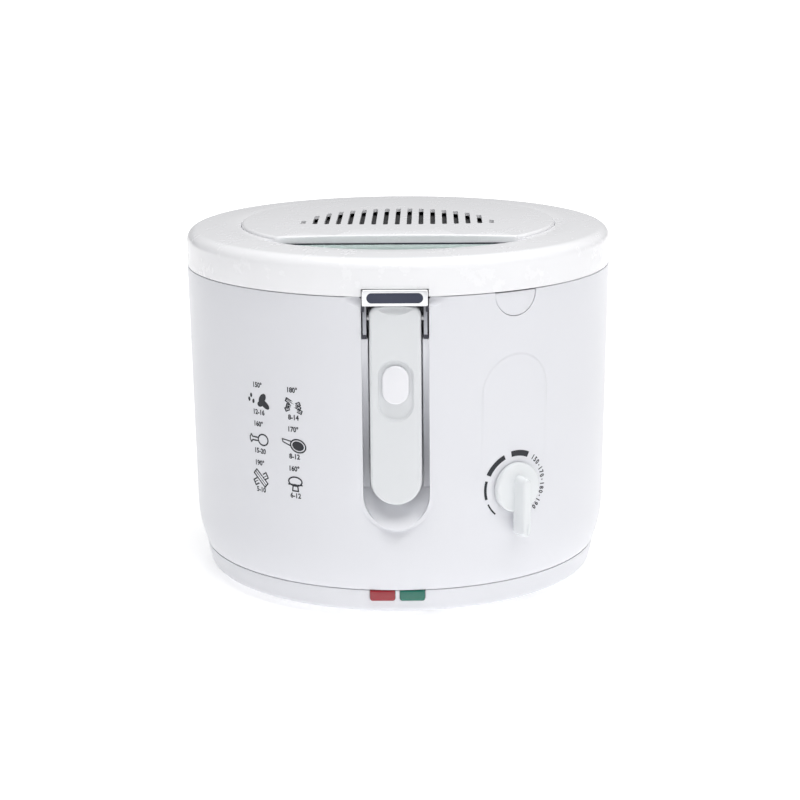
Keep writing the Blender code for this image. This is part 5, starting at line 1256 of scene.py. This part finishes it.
def write(bm, text, x, y, size, turn=0.0, squeeze=1.0):
    curve = bpy.data.curves.new("figures", "FONT")
    curve.body = text
    curve.size = size
    curve.align_x = "CENTER"
    curve.align_y = "CENTER"
    curve.resolution_u = 3
    curve.offset = size * 0.035
    guide = bpy.data.objects.new("figures", curve)
    scene.collection.objects.link(guide)
    bpy.context.view_layer.update()
    mesh = bpy.data.meshes.new_from_object(guide.evaluated_get(bpy.context.evaluated_depsgraph_get()))
    bpy.data.objects.remove(guide, do_unlink=True)
    narrow = Matrix.Diagonal((squeeze, 1.0, 1.0, 1.0))
    place = Matrix.Translation((x, y, 0)) @ Matrix.Rotation(turn, 4, "Z") @ narrow
    mesh.transform(place)
    bm.from_mesh(mesh)
    bpy.data.meshes.remove(mesh)


def make_dial_print():
    art = bmesh.new()
    radius = 0.0205
    bars = ((222.0, 245.0, 0.0010), (254.0, 286.0, 0.0017), (296.0, 338.0, 0.0030), (351.0, 386.0, 0.0035))
    for start, end, width in bars:
        band = bmesh.ops.create_grid(art, x_segments=1, y_segments=1, size=0.5)["verts"]
        edge = [v for v in band if v.co.x < 0]
        bmesh.ops.delete(art, geom=[v for v in band if v.co.x > 0], context="VERTS")
        for vert, reach in zip(edge, (radius - width / 2, radius + width / 2)):
            turn = math.radians(90.0 - start)
            vert.co = Vector((reach * math.cos(turn), reach * math.sin(turn), 0.0))
        join_edge = art.edges.get(edge) or art.edges.new(edge)
        sweep = math.radians(start - end)
        bmesh.ops.spin(art, geom=edge + [join_edge], cent=(0, 0, 0), axis=(0, 0, 1), angle=sweep, steps=16)
    figures = "150•170•180•190"
    for index, sign in enumerate(figures):
        clockwise = math.radians(35.0 + 105.0 * (index + 0.5) / len(figures))
        x, y = radius * math.sin(clockwise), radius * math.cos(clockwise)
        if sign == "•":
            blob(art, x, y, 0.00045, 0.00045)
        else:
            write(art, sign, x, y, 0.0044, -clockwise, 0.80)
    wrap(art, DIAL_ANGLE, DIAL_HEIGHT)
    finish(art, "dial_scale_print", PRINT_BLACK, "base")


def make_guide_print():
    """Six food signs in two columns, each between a temperature and a time."""
    thin = 0.0009
    left, right = -0.0128, 0.0128
    rows = (0.0238, 0.0, -0.0240)
    art = bmesh.new()
    for x, temperatures in ((left, ("150°", "160°", "190°")), (right, ("180°", "170°", "160°"))):
        for y, label in zip(rows, temperatures):
            write(art, label, x - 0.0006, y + 0.0093, 0.0042, squeeze=0.95)
    for x, times in ((left, ("12-16", "15-20", "5-10")), (right, ("8-14", "8-12", "6-12"))):
        for y, label in zip(rows, times):
            write(art, label, x, y - 0.0072, 0.0042, squeeze=0.95)
    x, y = left, rows[0]
    for dx, dy, turn in ((-0.0074, 0.0, 10), (-0.0058, 0.0026, 0), (-0.0040, -0.0008, -10)):
        blob(art, x + dx, y + dy, 0.0009, 0.0014, turn)
    for dx, dy, wide, tall, turn in ((0.0032, 0.0016, 0.0036, 0.0022, 50),
                                     (0.0050, -0.0018, 0.0040, 0.0020, -35),
                                     (0.0016, -0.0018, 0.0024, 0.0018, 20)):
        blob(art, x + dx, y + dy, wide, tall, turn)
    x, y = left, rows[1]
    hoop(art, x + 0.0028, y, 0.0043, 0.0038, thin)
    for start, end in (((-0.0018, 0.0010), (-0.0056, 0.0010)), ((-0.0018, -0.0010), (-0.0056, -0.0010)),
                       ((-0.0056, 0.0010), (-0.0068, 0.0024)), ((-0.0056, -0.0010), (-0.0068, -0.0024)),
                       ((-0.0068, 0.0024), (-0.0078, 0.0008)), ((-0.0068, -0.0024), (-0.0078, -0.0008)),
                       ((-0.0078, 0.0008), (-0.0078, -0.0008))):
        line(art, (x + start[0], y + start[1]), (x + end[0], y + end[1]), thin)
    x, y = left, rows[2]
    for turn, offset in ((-42.0, 0.0), (30.0, -0.0004)):
        stick(art, x, y + offset, 0.0058, 0.0017, turn, thin)
    x, y = right, rows[0]
    for turn, dx, dy in ((-28.0, 0.0, 0.0010), (24.0, -0.0004, -0.0006), (-20.0, 0.0006, -0.0018)):
        stick(art, x + dx, y + dy, 0.0054, 0.0010, turn, 0.0008)
    x, y = right, rows[1]
    hoop(art, x + 0.0026, y - 0.0004, 0.0056, 0.0043, thin, -12)
    blob(art, x + 0.0026, y - 0.0004, 0.0040, 0.0028, -12)
    for start, end in (((-0.0020, 0.0020), (-0.0082, 0.0030)), ((-0.0028, -0.0006), (-0.0078, 0.0012)),
                       ((-0.0082, 0.0030), (-0.0078, 0.0012))):
        line(art, (x + start[0], y + start[1]), (x + end[0], y + end[1]), 0.0008)
    x, y = right, rows[2]
    hoop(art, x, y + 0.0016, 0.0050, 0.0032, thin)
    blob(art, x, y - 0.0004, 0.0016, 0.0004)
    for start, end in (((-0.0016, -0.0012), (-0.0020, -0.0042)), ((0.0016, -0.0012), (0.0020, -0.0042)),
                       ((-0.0020, -0.0042), (0.0020, -0.0042)), ((-0.0046, -0.0004), (0.0046, -0.0004))):
        line(art, (x + start[0], y + start[1]), (x + end[0], y + end[1]), thin)
    wrap(art, math.radians(-32.9), 0.1065)
    finish(art, "cooking_guide_print", PRINT_BLACK, "base")


def stick(bm, x, y, reach, half, turn, width):
    """An outlined stick with a square cross-section, lying at a turn."""
    along = Vector((math.cos(math.radians(turn)), math.sin(math.radians(turn))))
    side = Vector((-along.y, along.x)) * half
    centre = Vector((x, y))
    ends = [centre - along * reach, centre + along * reach]
    line(bm, ends[0] + side, ends[1] + side, width)
    line(bm, ends[0] - side, ends[1] - side, width)
    line(bm, ends[0] + side, ends[0] - side, width)
    line(bm, ends[1] + side, ends[1] - side, width)
    line(bm, ends[0] + side * 0.1, ends[1] - side * 0.1, width * 0.6)


def repaint(node, material):
    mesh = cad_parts[node].data
    mesh.materials.clear()
    mesh.materials.append(material)


def repaint_frame():
    for node, material in (
        ("cord_gland", RUBBER), ("handle_pin", PLAIN_STEEL), ("lid_hinge_pin", PLAIN_STEEL),
        ("lid_hook", LID_PAINTED_BRIGHT_WHITE),
        ("filter_pad", FILTER_FOAM), ("grease_mesh", MESH_STEEL), ("lock_spring", PLAIN_STEEL),
        ("thermostat_shaft", PLAIN_STEEL), ("thermostat_body", CERAMIC), ("terminal_block", CERAMIC),
        ("thermal_cutout", BLACK_MOULDING), ("lamp_holder", BLACK_MOULDING), ("capillary_tube", COPPER),
        ("heating_element", ELEMENT_STEEL), ("heat_shield", ALUMINIUM), ("neon_red", LAMP_GLASS),
        ("neon_green", LAMP_GLASS),
    ):
        repaint(node, material)


make_housing()
make_base_pan()
make_lamps()
make_feet()
make_lid()
make_window()
make_cover()
make_inner_lid()
make_bowl()
make_bracket()
make_handle()
make_release()
make_dial()
make_basket()
make_dial_print()
make_guide_print()
repaint_frame()
